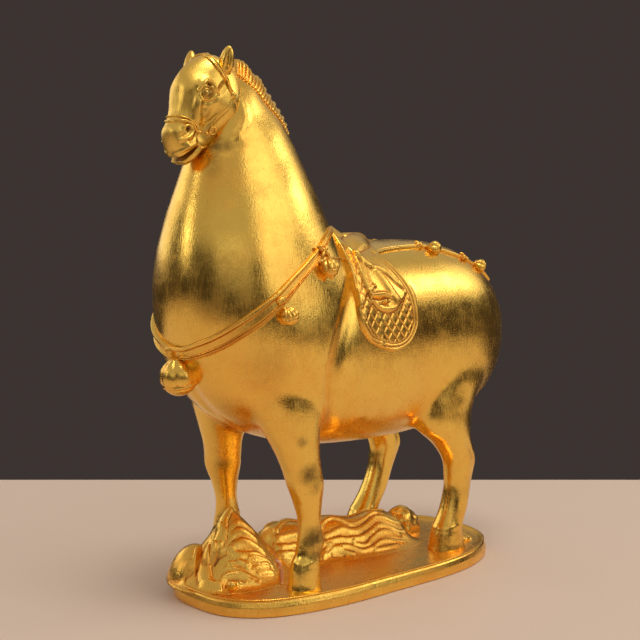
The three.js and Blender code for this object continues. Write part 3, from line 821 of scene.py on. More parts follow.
# the head's skin by distance down and angle (0 face, half a turn jaw, left side first)
def headSkin(down, angle):
    down, angle = np.broadcast_arrays(np.atleast_1d(down).astype(float), angle)
    row = headRow(down)
    forward = np.cos(angle) > 0
    squareness = np.where(forward, row[:, 4], headValues["jawSquareness"])
    reach = np.where(forward, row[:, 1], row[:, 2]) * softPower(np.cos(angle), squareness)
    return inHead(row[:, 0], reach, -row[:, 3] * softPower(np.sin(angle), squareness))


def headNormal(down, angle):
    step, swing = 1.0, 0.05
    alongHead = headSkin(down + step, angle) - headSkin(down - step, angle)
    aroundHead = headSkin(down, angle + swing) - headSkin(down, angle - swing)
    return unit(np.cross(alongHead, aroundHead))


# a point on the side of the head by distance down and forward
def headSide(down, face, side=-1, out=0):
    row = headRow(down)[0]
    reach, squareness = (row[1], row[4]) if face > 0 else (row[2], headValues["jawSquareness"])
    y = row[3] * (1 - min(abs(face) / reach, 0.98) ** squareness) ** (1 / squareness)
    return tuple(inHead(down, face, side * (y + out))[0])


def headShape():
    chin = headTable[-1, 0]
    return gridShape(*headValues["mesh"], lambda u, v: headSkin(chin * u, 2 * np.pi * v))


# a leaf-shaped ear, hollow in front
def earShape(ear):
    root, tip = np.array(ear["root"], float), np.array(ear["tip"], float)

    def place(u, v):
        angle = 2 * np.pi * v
        size = ear["width"] * (1 - u) ** 0.6 * (0.72 + 0.62 * u) * smoothStep(u, -0.35, 0.25) + 0.35
        centre = root + np.outer(u, tip - root)
        opening = math.radians(125 * ear["side"])
        turned = np.angle(np.exp(1j * (angle - opening)))
        hollow = 0.42 * hump(turned / 0.5) * smoothStep(u, 0.02, 0.25)
        radius = size * (1 - hollow)
        x = centre[:, 0] + 0.62 * radius * np.cos(angle)
        y = centre[:, 1] + radius * np.sin(angle) * 0.9
        return np.stack([x, y, centre[:, 2]], 1)

    return gridShape(*headValues["earMesh"], place)


# the mouth: a wedge cut from the lips to their corner
def cutMouth(head):
    mouth = headValues["mouth"]
    front, corner = inHead(*mouth["front"], 0)[0], inHead(*mouth["corner"], 0)[0]
    shape = bmesh.new()
    bmesh.ops.create_cube(shape, size=1)
    run = corner - front
    length = np.linalg.norm(run)
    slope = math.atan2(run[2], run[0])
    for vert in shape.verts:
        thin = mouth["opening"] if vert.co.x < 0 else mouth["cornerOpening"]
        vert.co = ((vert.co.x + 0.5) * (length + 3) - 3, vert.co.y * 40, vert.co.z * thin)
    bmesh.ops.rotate(shape, cent=(0, 0, 0), matrix=Matrix.Rotation(-slope, 3, "Y"), verts=shape.verts)
    bmesh.ops.translate(shape, vec=front, verts=shape.verts)
    bmesh.ops.scale(shape, vec=(mm, mm, mm), verts=shape.verts)
    mesh = bpy.data.meshes.new("mouthCutter")
    shape.to_mesh(mesh)
    shape.free()
    cutter = bpy.data.objects.new("mouthCutter", mesh)
    scene.collection.objects.link(cutter)
    cut = head.modifiers.new("Mouth", "BOOLEAN")
    cut.operation = "DIFFERENCE"
    cut.object = cutter
    applyModifiers(head)
    bpy.data.objects.remove(cutter)


# strokes on both sides of the face, by (down, face) places: path, width, rise
faceStrokes = (
    ([(32.2, 5)], 9.0, -2.4),
    ([(35.4, 10.4), (32, 9.9), (29, 8.8), (27.4, 7.1), (27.2, 4.1), (28.4, 0.9)], 1.4, 1.7),
    ([(33, 12.2), (31, 11.6), (28.8, 10.8), (26.2, 9.8), (23.2, 8.2)], 1.8, 1.6),
    ([(29, 12), (25, 10)], 5.5, 1.2),
    ([(23.2, 8.2), (24.6, 4.9), (26.2, 1.1), (28.6, -2)], 1.7, 1.5),
    ([(26, 7)], 2.1, -1.8),
    ([(36.4, 9.2), (36.9, 6.2), (35.9, 3.2), (33.8, 0.9), (30.2, -0.2)], 1.4, 1.6),
    ([(27.6, -1.6), (24.6, -2.8), (19.8, -4.3)], 4.2, -1.5),
    ([(33.4, 13.9), (38.4, 14.2), (44, 13.1), (49.4, 11.8), (54, 11.1)], 4.4, -1.5),
    ([(37.4, 9.4), (40.6, 8.6), (45.2, 6.5), (51.6, 2.4)], 4.2, 1.8),
    ([(39.8, 3.6), (44, 1.8)], 4.0, -0.8),
    ([(39.6, -4.2), (44.8, -4.6), (50.8, -2.2)], 5.4, -1.5),
    ([(28, -15), (36, -16)], 12, 1.0),
    ([(60, 9.8), (58.4, 8.7), (57, 7), (57, 4.8), (59, 2.9), (62.6, 3.4), (65.6, 5.4), (69, 8.2)], 1.7, 1.8),
    ([(54.6, 8), (54.8, 3.6), (58.4, 0.4), (63.6, 0.6), (67, 2.8)], 2.0, -1.5),
    ([(58.4, 6.8), (60.6, 6.2)], 1.7, -2.0),
    ([(62.6, 7), (66.6, 9.6)], 3.0, -1.5),
    ([(68.4, 1.8), (70.8, 3.7)], 4.0, 1.0),
    ([(77, 4.6), (75.6, 4.4), (73.2, 3), (70.2, 0.8), (66.4, -2.2)], 1.8, 0.7),
    ([(78.6, -3.6), (76, -5.6), (72, -7), (67.6, -8)], 1.9, 0.7),
)


def faceStrokesAt(side):
    strokes = []
    for places, width, rise in faceStrokes:
        path = [headSide(down, face, side) for down, face in places]
        strokes.append((path if len(path) > 1 else path * 2, width, rise))
    return strokes


def eyeShape(side):
    eye = headValues["eye"]
    centre = np.array(headSide(eye["down"], eye["face"], side, -eye["sink"]))
    ball = bmesh.new()
    meridians, rows = headValues["eyeMesh"]
    bmesh.ops.create_uvsphere(ball, u_segments=meridians, v_segments=rows, radius=1)
    bmesh.ops.rotate(ball, cent=(0, 0, 0), matrix=Matrix.Rotation(math.pi / 2, 3, "X"), verts=ball.verts)
    look = unit(np.array([-0.35, side, 0.02]))
    for vert in ball.verts:
        away = math.acos(max(-1, min(1, float(np.dot(vert.co, look)))))
        ring = 1 + 0.05 * hump(away / 0.30) - 0.11 * hump((away - 0.42) / 0.12)
        vert.co = Vector(centre * mm) + vert.co * (eye["radius"] * ring * mm)
    bmesh.ops.recalc_face_normals(ball, faces=ball.faces)
    return ball


# painted shade on the head in the mouth, at eyes, nostrils and cheeks: down, face, reach, strength
headPaintedShade = {
    "middle": ((77, 0.5, 5, 1.0), (72, -2.5, 5, 1.0), (68, -4, 4, 0.9)),
    "sides": ((32.2, 5.5, 4.4, 0.85), (27, 7.5, 2.5, 0.7), (58.8, 6.6, 1.6, 1.0), (42, 13, 5, 0.3),
              (47, -1, 6, 0.4), (55, -8, 6, 0.4)),
}


def makeHead():
    head = makePiece("horseHead", [headShape()], headGold)
    cutMouth(head)
    skull = bmesh.new()
    skull.from_mesh(head.data)
    bpy.data.objects.remove(head)
    head = makePiece("horseHead", [skull] + [earShape(ear) for ear in headValues["ears"]], headGold)
    fuse(head, headValues["voxel"])
    soften(head, headValues["softRounds"])
    press(head, faceStrokesAt(-1) + faceStrokesAt(1))
    soften(head, headValues["lastRounds"])
    markHollows(head, *headValues["hollows"])
    # the head's painted shade goes into the same mask as the body's wear, on the head and the eyes
    paintedShadeSpots = [
        (tuple(inHead(*place, 0)[0]), reach, strength)
        for *place, reach, strength in headPaintedShade["middle"]
    ]
    for side in (-1, 1):
        paintedShadeSpots += [
            (headSide(*place, side), reach, strength)
            for *place, reach, strength in headPaintedShade["sides"]
        ]
    markWornAndShade(head, paintedShadeSpots)
    reportPiece(head)
    eyes = makePiece("horseEyes", [eyeShape(1), eyeShape(-1)], carvedGold)
    markHollows(eyes, *headValues["eyeHollows"])
    markWornAndShade(eyes, paintedShadeSpots)
    reportPiece(eyes)


makeHead()


# The clipped mane

maneValues = {
    "upper": {"from": 17.95, "to": 14.15, "locks": 22, "tooth": 2},
    "lower": {"from": 14.13, "to": 9.2, "locks": 22, "tooth": 2},
    "sections": (9.2, 13.9, 14.2, 14.4, 15, 16.3, 16.45, 16.6, 16.8, 16.95, 17.1, 17.25, 17.5, 17.8, 18),
    "heights": (3.6, 3.8, 4.6, 5.6, 6.0, 6.0, 6.4, 7.6, 7.4, 5.6, 5.8, 8.0, 9.2, 8.4, 6.2),
    "edgeSections": (9.2, 13.6, 14.2, 15, 15.5, 16, 16.5, 17, 17.4, 18),
    "edgeDegrees": (4, 5, 17, 27, 33, 38, 42, 46, 48, 50),
    "edgeHeight": 1.2,
    "roundness": 2.4,
    "sink": 1.5,
    "outerShare": 0.72,
    "groove": 0.42,
    "toothStep": 0.26,
    "toothZone": (16.45, 16.35),
    "lockMesh": 14,
    "acrossMesh": 48,
    "hollows": (6, 0.3),
}


# a band of upright locks over the crest, lying down the neck a little way on both sides
def maneShape(band):
    values = maneValues

    def place(u, v):
        section = mix(band["from"], band["to"], u)
        lock = band["locks"] * u
        groove = np.abs(np.cos(np.pi * lock)) ** 5
        toothStart, toothFull = values["toothZone"]
        toothed = values["toothStep"] * smoothStep(-section, -toothStart, -toothFull)
        tooth = (2 * ((lock / band["tooth"]) % 1) - 1) * toothed
        height = np.interp(section, values["sections"], values["heights"])
        height = height * (1 + tooth - values["groove"] * groove)
        edge = np.interp(section, values["edgeSections"], values["edgeDegrees"]) * (1 - 0.12 * groove)
        outer = v < values["outerShare"]
        inner = (v - values["outerShare"]) / (1 - values["outerShare"])
        across = np.where(outer, 2 * v / values["outerShare"] - 1, 1 - 2 * inner)
        foot = values["edgeHeight"] * (1 - groove)
        over = foot + (height - values["edgeHeight"]) * (1 - np.abs(across) ** values["roundness"])
        under = mix(foot, -values["sink"], np.sin(np.pi * np.clip(inner, 0, 1)) ** 0.4)
        upward = trunkNormal(section, np.zeros(len(u)))
        return trunkSkin(section, np.radians(edge * across)) + upward * np.where(outer, over, under)[:, None]

    return gridShape(values["lockMesh"] * band["locks"], values["acrossMesh"], place)


def makeMane():
    mane = makePiece("mane", [maneShape(maneValues[band]) for band in ("upper", "lower")], carvedGold)
    markHollows(mane, *maneValues["hollows"])
    reportPiece(mane)


makeMane()


# Straps and rolls

# a closed cross-section, as (across, up) pairs, from ridges on a flat band:
# middle, reach, height, squareness
def strapSection(flatHeight, sink, ridges, edge=0.12):
    across = np.linspace(-1, 1, 73)
    up = flatHeight * np.clip((1 - np.abs(across)) / edge, 0, 1) ** 0.5
    for middle, reach, height, squareness in ridges:
        apart = np.clip(np.abs((across - middle) / reach), 0, 1)
        up = np.maximum(up, height * (1 - apart ** squareness) ** (1 / squareness))
    rim = np.stack([across, up], 1)
    under = np.array([(1, -0.5 * sink), (0.92, -sink), (-0.92, -sink), (-1, -0.5 * sink), (-1, up[0])])
    return np.vstack([rim, under])


# a strap along a path; outs point away from the skin, widths scales it along the way
def strapShape(points, outs, section, widths, stepsAlong, stepsRound, ends=0.0):
    points, outs = np.asarray(points, float), np.asarray(outs, float)
    forward = unit(np.gradient(points, axis=0))
    across = unit(np.cross(outs, forward))
    outs = unit(np.cross(forward, across))
    row = np.linspace(0, 1, len(points))
    lap = np.linspace(0, 1, len(section))
    widthRow = np.linspace(0, 1, len(widths))

    def place(u, v):
        def at(table):
            return np.stack([np.interp(u, row, column) for column in table.T], 1)

        wide = np.interp(u, widthRow, widths)
        close = np.clip(np.minimum(u, 1 - u) / ends, 0, 1) ** 0.5 if ends else 1
        sideways = np.interp(v, lap, section[:, 0]) * wide * close
        upward = np.interp(v, lap, section[:, 1]) * close
        return at(points) + at(across) * sideways[:, None] + at(outs) * upward[:, None]

    return gridShape(stepsAlong, stepsRound, place)


# a path on the trunk through (section, degrees) places
def trunkLine(places, count):
    sections, degrees = smoothPath(places, count).T
    angles = np.radians(degrees)
    return trunkSkin(sections, angles), trunkNormal(sections, angles)


breastValues = {
    "line": ((9.5, 35.5), (10.0, 49.5), (10.31, 65), (10.56, 80), (10.71, 93), (10.83, 110), (10.91, 126),
             (10.93, 142), (10.92, 159), (10.87, 173), (10.87, 180)),
    "halfWidths": (1.8, 2.5, 3.1, 4.1, 5.3, 6.2, 6.2, 6.2, 6.1, 5.3, 5.0),
    "ridges": ((-0.77, 0.23, 2.6, 5), (-0.42, 0.07, 1.9, 2), (0.42, 0.08, 2.3, 2), (0.62, 0.1, 2.6, 2),
               (0.9, 0.1, 1.7, 2)),
    "flatHeight": 1.0,
    "sink": 2.0,
    "lift": 0.2,
    "rein": ((10.0, 61), (9.4, 56), (9.04, 52.5), (8.5, 48), (8.06, 44.5), (7.5, 41)),
    "reinHalfWidth": 1.0,
    "reinHeight": 1.1,
    "mesh": (380, 76),
    "reinMesh": (60, 24),
    "hollows": (10, 0.35),
}


def breastStrapShape():
    values = breastValues
    near = list(values["line"])
    far = [(section, 360 - degrees) for section, degrees in reversed(near[:-1])]
    points, outs = trunkLine(near + far, 400)
    widths = values["halfWidths"] + values["halfWidths"][-2::-1]
    section = strapSection(values["flatHeight"], values["sink"], values["ridges"])
    return strapShape(points + outs * values["lift"], outs, section, widths, *values["mesh"])


# the thin cord from the last knot back to the saddle
def reinShape(mirror):
    values = breastValues
    points, outs = trunkLine([(where, mirror * degrees) for where, degrees in values["rein"]], 60)
    section = strapSection(0.2, 1.2, ((0, 1.0, values["reinHeight"], 2),))
    return strapShape(points, outs, section, [values["reinHalfWidth"]] * 2, *values["reinMesh"])


# each lobe of a knot: reach to the side, drop, turn, length, width
knotValues = {
    "lobes": (
        (0.0, 0.0, 0.0, 0.62, 0.42),
        (-0.6, -0.4, 0.75, 0.72, 0.34),
        (0.6, -0.4, -0.75, 0.72, 0.34),
        (-0.5, 0.45, -0.6, 0.66, 0.3),
        (0.5, 0.45, 0.6, 0.66, 0.3),
    ),
    "proud": 0.42,
    "raised": 0.12,
    "mesh": (24, 16),
}


# folded cloth knots where the bells hang: a knuckle with four ears
def knotShapes(place, out, down, size):
    out, down = unit(np.array(out, float)), unit(np.array(down, float))
    side = np.cross(out, down)
    shapes = []
    meridians, rows = knotValues["mesh"]
    for reach, drop, turn, length, width in knotValues["lobes"]:
        lobe = bmesh.new()
        bmesh.ops.create_uvsphere(lobe, u_segments=meridians, v_segments=rows, radius=1)
        main = down * math.cos(turn) + side * math.sin(turn)
        cross = np.cross(out, main)
        middle = np.array(place) + (side * reach + down * drop) * size + out * knotValues["raised"] * size
        for vert in lobe.verts:
            fold = 1 + 0.2 * math.cos(7.5 * vert.co.x)
            proud = vert.co.y * knotValues["proud"] * fold
            spot = cross * vert.co.x * width + main * vert.co.z * length + out * proud
            vert.co = Vector((middle + spot * size) * mm)
        bmesh.ops.recalc_face_normals(lobe, faces=lobe.faces)
        shapes.append(lobe)
    return shapes


# a strap's keeper: a rounded block across it with upright grooves; size is wide, tall, proud
def keeperShape(place, out, down, size, grooves):
    out, down = unit(np.array(out, float)), unit(np.array(down, float))
    side = np.cross(out, down)
    wide, tall, proud = size

    def around(u, v):
        lift, turn = np.pi * (u - 0.5), 2 * np.pi * v
        x = softPower(np.cos(lift), 3) * softPower(np.cos(turn), 3)
        y = softPower(np.cos(lift), 3) * softPower(np.sin(turn), 3)
        z = softPower(np.sin(lift), 3)
        groove = 1 - 0.16 * np.cos(np.pi * grooves * x) ** 6 * (y > 0)
        pinch = 1 - 0.12 * hump(z / 0.5)
        flat = np.outer(x * wide / 2 * pinch, side) + np.outer(z * tall / 2, down)
        return np.array(place) + flat + np.outer(y * proud * groove, out)

    return gridShape(*bellValues["keeperMesh"], around)


# a round bell: lobed cap down to its belt, smooth below, a nub at the bottom
def bellShape(centre, up, out, values):
    radius, lobes, depth = values["radius"], values["lobes"], values["depth"]
    belt, nub = values["belt"], values["nub"]
    up = unit(np.array(up, float))
    out = unit(np.array(out, float) - up * np.dot(out, up))
    side = np.cross(up, out)
    bell = bmesh.new()
    meridians, rows = bellValues["mesh"]
    bmesh.ops.create_uvsphere(bell, u_segments=meridians, v_segments=rows, radius=1)
    for vert in bell.verts:
        x, y, z = vert.co
        turn = math.atan2(y, x)
        cap = max(0.0, min(1.0, (z - belt - 0.06) / 0.1))
        swell = 1 + cap * depth * (abs(math.cos(lobes * turn / 2)) - 0.5) * (1 - z * z) ** 0.25
        swell += 0.05 * float(hump((z - belt) / 0.09)) - 0.04 * float(hump((abs(z - belt) - 0.13) / 0.06))
        swell += nub * float(hump((z + 1) / 0.06)) + 0.08 * float(hump((z - 1) / 0.12))
        spot = (out * x + side * y + up * z) * radius * swell
        vert.co = Vector((np.array(centre) + spot) * mm)
    bmesh.ops.recalc_face_normals(bell, faces=bell.faces)
    return bell


bellValues = {
    "chest": {"place": (-148.7, 0, 168), "radius": 13.2, "lobes": 6, "depth": 0.09, "belt": -0.38, "nub": 0},
    "nearChest": {
        "at": (10.18, 94), "knot": (10.66, 93.5), "radius": 6.0,
        "lobes": 12, "depth": 0.14, "belt": -0.3, "nub": 0,
    },
    "shoulder": {
        "at": (9.58, 65), "knot": (10.16, 61.5), "radius": 6.6,
        "lobes": 9, "depth": 0.16, "belt": -0.35, "nub": 0.22,
    },
    "lift": 0.66,
    "chestKeeper": {"at": (10.86, 184.5), "size": (7, 11, 4.6), "grooves": 2},
    "nearKeeper": {"at": (10.66, 93.5), "size": (8.6, 5.6, 4.2), "grooves": 3},
    "knotSize": 4.6,
    "knotLift": 2.2,
    "mesh": (72, 56),
    "keeperMesh": (40, 72),
    "hollows": (6, 0.5),
}


def makeBreastStrap():
    strap = makePiece("breastStrap", [breastStrapShape(), reinShape(1), reinShape(-1)], carvedGold)
    markHollows(strap, *breastValues["hollows"])
    reportPiece(strap)
    chest, keeper = bellValues["chest"], bellValues["chestKeeper"]
    section, degrees = keeper["at"]
    points, outs = trunkLine([(section, degrees), (section - 0.2, degrees)], 2)
    shapes = [
        bellShape(chest["place"], (-0.2, 0, 1), (-1, -0.25, 0), chest),
        keeperShape(points[0], outs[0], points[1] - points[0], keeper["size"], keeper["grooves"]),
    ]
    keeper = bellValues["nearKeeper"]
    for name in ("nearChest", "shoulder"):
        values = bellValues[name]
        for mirror in (1, -1):
            places = [values["knot"], values["at"]]
            points, outs = trunkLine([(section, mirror * degrees) for section, degrees in places], 2)
            middle = points[1] + outs[1] * values["radius"] * bellValues["lift"]
            up = points[0] - points[1]
            shapes.append(bellShape(middle, up, outs[1], values))
            if name == "nearChest":
                shapes.append(keeperShape(points[0], outs[0], -up, keeper["size"], keeper["grooves"]))
            else:
                lift = outs[0] * bellValues["knotLift"]
                shapes += knotShapes(points[0] + lift, outs[0], -up, bellValues["knotSize"])
    bells = makePiece("breastBells", shapes, carvedGold)
    markHollows(bells, *bellValues["hollows"])
    reportPiece(bells)


makeBreastStrap()


# The cruppers over the rump, with their knobs and bells

crupperValues = {
    "line": ((5.9, 28), (5.5, 25), (5.1, 23.5), (4.75, 22.5), (4.4, 22.5), (4.0, 25), (3.6, 29), (3.2, 32.5),
             (2.8, 35), (2.3, 38), (1.9, 40)),
    "halfWidth": 2.2,
    "widths": (1, 1, 1, 1, 0.9, 0.8, 0.7, 0.6),
    "knobs": ((4.38, 22), (3.2, 33)),
    "bells": ((4.08, 28), (2.6, 37)),
    "bell": {"radius": 5.4, "lobes": 4, "depth": 0.22, "belt": -0.1, "nub": 0},
    "lift": 2.4,
    "knotSize": 3.4,
    "knotLift": 1.6,
    "flatHeight": 1.0,
    "sink": 1.6,
    "ridges": ((-0.62, 0.38, 1.9, 2), (0.72, 0.28, 1.3, 2)),
    "mesh": (140, 44),
    "hollows": (8, 0.6),
}


def makeCruppers():
    shapes = []
    section = strapSection(crupperValues["flatHeight"], crupperValues["sink"], crupperValues["ridges"])
    for mirror in (1, -1):
        def sided(places):
            return [(where, mirror * degrees) for where, degrees in places]

        points, outs = trunkLine(sided(crupperValues["line"]), 160)
        widths = [crupperValues["halfWidth"] * share for share in crupperValues["widths"]]
        shapes.append(strapShape(points, outs, section, widths, *crupperValues["mesh"]))
        knobs, knobOuts = trunkLine(sided(crupperValues["knobs"]), 2)
        bells, bellOuts = trunkLine(sided(crupperValues["bells"]), 2)
        for index in range(2):
            down = bells[index] - knobs[index]
            knot = knobs[index] + knobOuts[index] * crupperValues["knotLift"]
            shapes += knotShapes(knot, knobOuts[index], down, crupperValues["knotSize"])
            middle = bells[index] + bellOuts[index] * crupperValues["lift"]
            shapes.append(bellShape(middle, -down, bellOuts[index], crupperValues["bell"]))
    cruppers = makePiece("cruppers", shapes, carvedGold)
    markHollows(cruppers, *crupperValues["hollows"])
    reportPiece(cruppers)


makeCruppers()


# The saddle, its flaps and the quilted cloth, as a height over the barrel

saddleValues = {
    "from": -41,
    "to": 42,
    "halfTurn": 96,
    "degree": 1.25,
    "axis": 180,
    "step": 0.5,
    "sink": 1.4,
    "innerShare": 0.55,
    "softRounds": 2,
    "castFrom": 120,
    "rayLength": 0.2,
    "keepTo": -1.4,
    "hollows": (6, 0.16),
    "cloth": ((-36, 58), (-37, 63), (-36.3, 69), (-34.3, 74), (-29.3, 79), (-23.6, 83), (-16, 86),
              (-8, 88.6), (0, 90.2), (8.3, 88.9), (15.5, 86.3), (21.3, 82.5), (26.6, 76), (28.8, 69.2),
              (29.4, 61.5), (30.2, 56), (28.8, 51), (25, 47.8), (22.4, 43), (19, 38.4), (16.6, 33.6),
              (14, 30), (14, 25), (19, 17), (27, 9), (36, 4), (38, -4), (38, -14), (-32, -14), (-32.5, 0),
              (-33.5, 14), (-34.5, 26), (-35, 36), (-35, 44), (-35.5, 52)),
    "seam": ((-34.9, 55.1), (-36, 61.8), (-35.9, 68.4), (-32.4, 74.3), (-26.3, 79), (-19.3, 82.4),
             (-10.5, 84.8), (-2.4, 86.2), (5.5, 85.8), (12.1, 84), (18.1, 80), (23, 73.2), (23.6, 66.6),
             (23.6, 60.9), (22.6, 55), (20, 49), (16, 42), (11, 34), (8, 26), (8, -14), (-28, -14),
             (-29, 20), (-30.5, 36), (-31.5, 48)),
    "flap": ((-23, 36), (-23.7, 42), (-24.2, 47.5), (-23.6, 54.5), (-22.2, 58.3), (-19.4, 61.2), (-15, 64),
             (-9.2, 65.6), (-2.5, 65.9), (3.7, 64.2), (7.9, 61.3), (13.7, 58.4), (17.2, 53.7), (14.6, 49.9),
             (12.9, 45.2), (10.1, 40.5), (7, 36.5), (2, 31), (-5, 27), (-13, 25), (-19, 28)),
    "clothHeight": 2.3,
    "flapHeight": 2.3,
    "topHeight": 0.8,
    "quilt": (8.8, 10.2),
    "roll": ((-30, -4), (-30, 4), (-31, 14), (-32, 26), (-32, 34), (-32, 41), (-33, 49), (-34.5, 55),
             (-35, 60)),
    "rollHeight": 2.0,
    "railX": ((0, -5), (5, -5), (9, -8), (13, -12), (20, -16.5), (26, -19), (34, -16)),
    "rail": ((-5, -5), (-5, 0), (-5, 5), (-8, 9), (-12, 13), (-16.5, 20), (-19, 26), (-18, 30), (-16, 34),
             (-12, 38)),
    "railHeight": 2.1,
    "pommel": ((-27, 0), (-21, 0.6), (-15, 4), (-7, 10), (0, 11.5), (6, 8.5), (11, 3), (15, 1), (17, 0)),
    "pommelTurn": 12.7,
    "seatTurn": (0, 4, 9, 13, 20, 27.5),
    "seatFront": (10, 3, -8, -12, -16, -19),
    "seatRear": (37, 31, 26, 21, 13, -8),
    "seatHeight": (6.6, 6.6, 6.4, 6.2, 5.2, 2.3),
}

# lines raised (or sunk) on the flap: path, width, rise
flapLines = (
    (((-15, 18), (-20, 28), (-18, 32), (-17, 38), (-17, 43), (-18, 50), (-17, 54)), 1.1, 0.8),
    (((-18, 18), (-22.4, 29), (-21.4, 36), (-21, 42), (-21.2, 47), (-21, 52)), 1.0, 0.5),
    (((-7.5, 40), (-4.5, 45.5), (-2, 50), (1, 55), (4.6, 59.6)), 5.0, 2.1),
    (((-6, 39), (-1.2, 41.8), (2.7, 44.5), (6, 48.2), (9.9, 51), (14.9, 53.9)), 1.2, -0.9),
    (((-3, 39), (2.6, 41.6), (6.4, 45.6), (10.6, 48.6), (15, 51.6)), 1.6, 0.8),
    (((-13.6, 39.1), (-9, 41), (-5.7, 41)), 1.3, -0.8),
    (((-23.8, 56.2), (-22.5, 53.6), (-18.9, 51.5), (-14.7, 50.6)), 1.8, 1.1),
    (((-21.4, 52.8), (-18, 50.2), (-15.4, 49.4)), 1.2, -0.9),
    (((-22.6, 56.2), (-18.5, 56), (-13.1, 55.4), (-6.1, 55.6), (-2, 57.4)), 2.2, 1.5),
    (((-21, 58), (-17, 57.9), (-12.7, 58.3), (-8, 57.6), (-4, 58)), 1.4, -2.2),
    (((-15.1, 60.2), (-10.4, 59.4), (-7, 59.4)), 1.7, 1.3),
    (((-11.1, 61), (-7.1, 61.3), (-4.4, 60.2)), 1.5, -1.9),
    (((-21.4, 59.4), (-17.6, 62), (-12.1, 63.6), (-3, 64), (3.6, 62.6)), 1.8, 0.6),
)


def onBarrel(tree, x, y, z):
    spots = []
    for place in zip(x, y, z):
        origin = Vector((place[0], 0, saddleValues["axis"])) * mm
        ray = Vector((0, place[1], place[2]))
        hit = tree.ray_cast(origin + ray * saddleValues["rayLength"], -ray)
        spots.append(hit[0] / mm if hit[0] else (0, 0, 0))
    return np.array(spots)


# how far inside a closed outline each place lies, negative outside
def insideBy(outline, x, y):
    loop = smoothPath(list(outline) + [outline[0]], 12 * len(outline))
    inside = np.zeros(len(x), bool)
    best = np.full(len(x), 1e9)
    for (x0, y0), (x1, y1) in zip(loop[:-1], loop[1:]):
        run, rise = x1 - x0, y1 - y0
        share = np.clip(((x - x0) * run + (y - y0) * rise) / max(run * run + rise * rise, 1e-12), 0, 1)
        best = np.minimum(best, np.hypot(x - x0 - share * run, y - y0 - share * rise))
        crossing = (y0 > y) != (y1 > y)
        inside ^= crossing & (x < x0 + (y - y0) * run / (rise if abs(rise) > 1e-12 else 1e-12))
    return np.where(inside, best, -best)


# distance from each place to an open path
def nearLine(path, x, y, count=40):
    line = smoothPath(path, count)
    best = np.full(len(x), 1e9)
    for (x0, y0), (x1, y1) in zip(line[:-1], line[1:]):
        run, rise = x1 - x0, y1 - y0
        share = np.clip(((x - x0) * run + (y - y0) * rise) / max(run * run + rise * rise, 1e-12), 0, 1)
        best = np.minimum(best, np.hypot(x - x0 - share * run, y - y0 - share * rise))
    return best


# pillows of stitched cloth, in diamonds
def quiltHeight(x, y):
    pitchX, pitchY = saddleValues["quilt"]
    first = (x / pitchX + y / pitchY) % 1
    second = (x / pitchX - y / pitchY) % 1
    stitch = np.minimum(np.minimum(first, 1 - first), np.minimum(second, 1 - second)) * pitchX * 0.76
    return 0.2 * np.sqrt(np.clip(stitch / 2.2, 0, 1)) - 0.7 * hump(stitch / 0.9)


def saddleHeight(x, degrees):
    values = saddleValues
    scale = values["degree"]
    side = np.abs(degrees)
    y = side * scale

    def scaled(places):
        return [(px, py * scale) for px, py in places]

    def apart(path):
        return nearLine(scaled(path), x, y)

    cloth, seam, flap = (insideBy(scaled(values[name]), x, y) for name in ("cloth", "seam", "flap"))
    lower = smoothStep(side, 30, 40)
    height = mix(values["topHeight"], values["clothHeight"], smoothStep(side, 14, 32))
    height += 0.9 * smoothStep(-x, 24, 31) * smoothStep(side, 44, 56)
    border = 0.5 * hump((seam + 3.2) / 2.4) - 1.1 * hump((seam + 1.1) / 0.9) + 0.55 * hump(seam / 0.75)
    border -= 0.6 * hump((seam - 1.5) / 0.9)
    height += lower * (border * smoothStep(cloth, 0.3, 1.2) + smoothStep(seam, 2.2, 2.9) * quiltHeight(x, y))
    height += values["rollHeight"] * np.sqrt(np.clip(1 - (apart(values["roll"]) / 2.8) ** 2, 0, 1))

    onFlap = np.sqrt(np.clip(flap / 1.1, 0, 1)) * smoothStep(side, 24, 33)
    rise = np.full(len(x), values["flapHeight"])
    for path, width, lift in flapLines:
        rise += lift * hump(apart(path) / width)
    height = np.where(flap > 0, mix(height, values["clothHeight"] + rise, onFlap), height)

    behindRail = x - np.interp(side, *np.transpose(values["railX"]))
    height += 1.5 * hump(behindRail / 9) * (1 - smoothStep(side, 26, 40))
    height += values["railHeight"] * np.sqrt(np.clip(1 - (apart(values["rail"]) / 2.6) ** 2, 0, 1))
    pommel = np.interp(behindRail, *np.transpose(values["pommel"])) * hump(side / values["pommelTurn"])
    seat = ("seatFront", "seatRear", "seatHeight")
    front, rear, dome = (np.interp(side, values["seatTurn"], values[key]) for key in seat)
    share = np.clip((x - front) / (rear - front), 0, 1)
    dome = dome * (1 - np.abs(2 * share - 1) ** 2.2) ** 0.85
    height = np.maximum(height * np.sqrt(np.clip(cloth / 0.9, 0, 1)), np.maximum(pommel, dome))
    height -= 1.0 * hump(np.hypot(x - 8, y - 26 * scale) / 4)
    return height, cloth


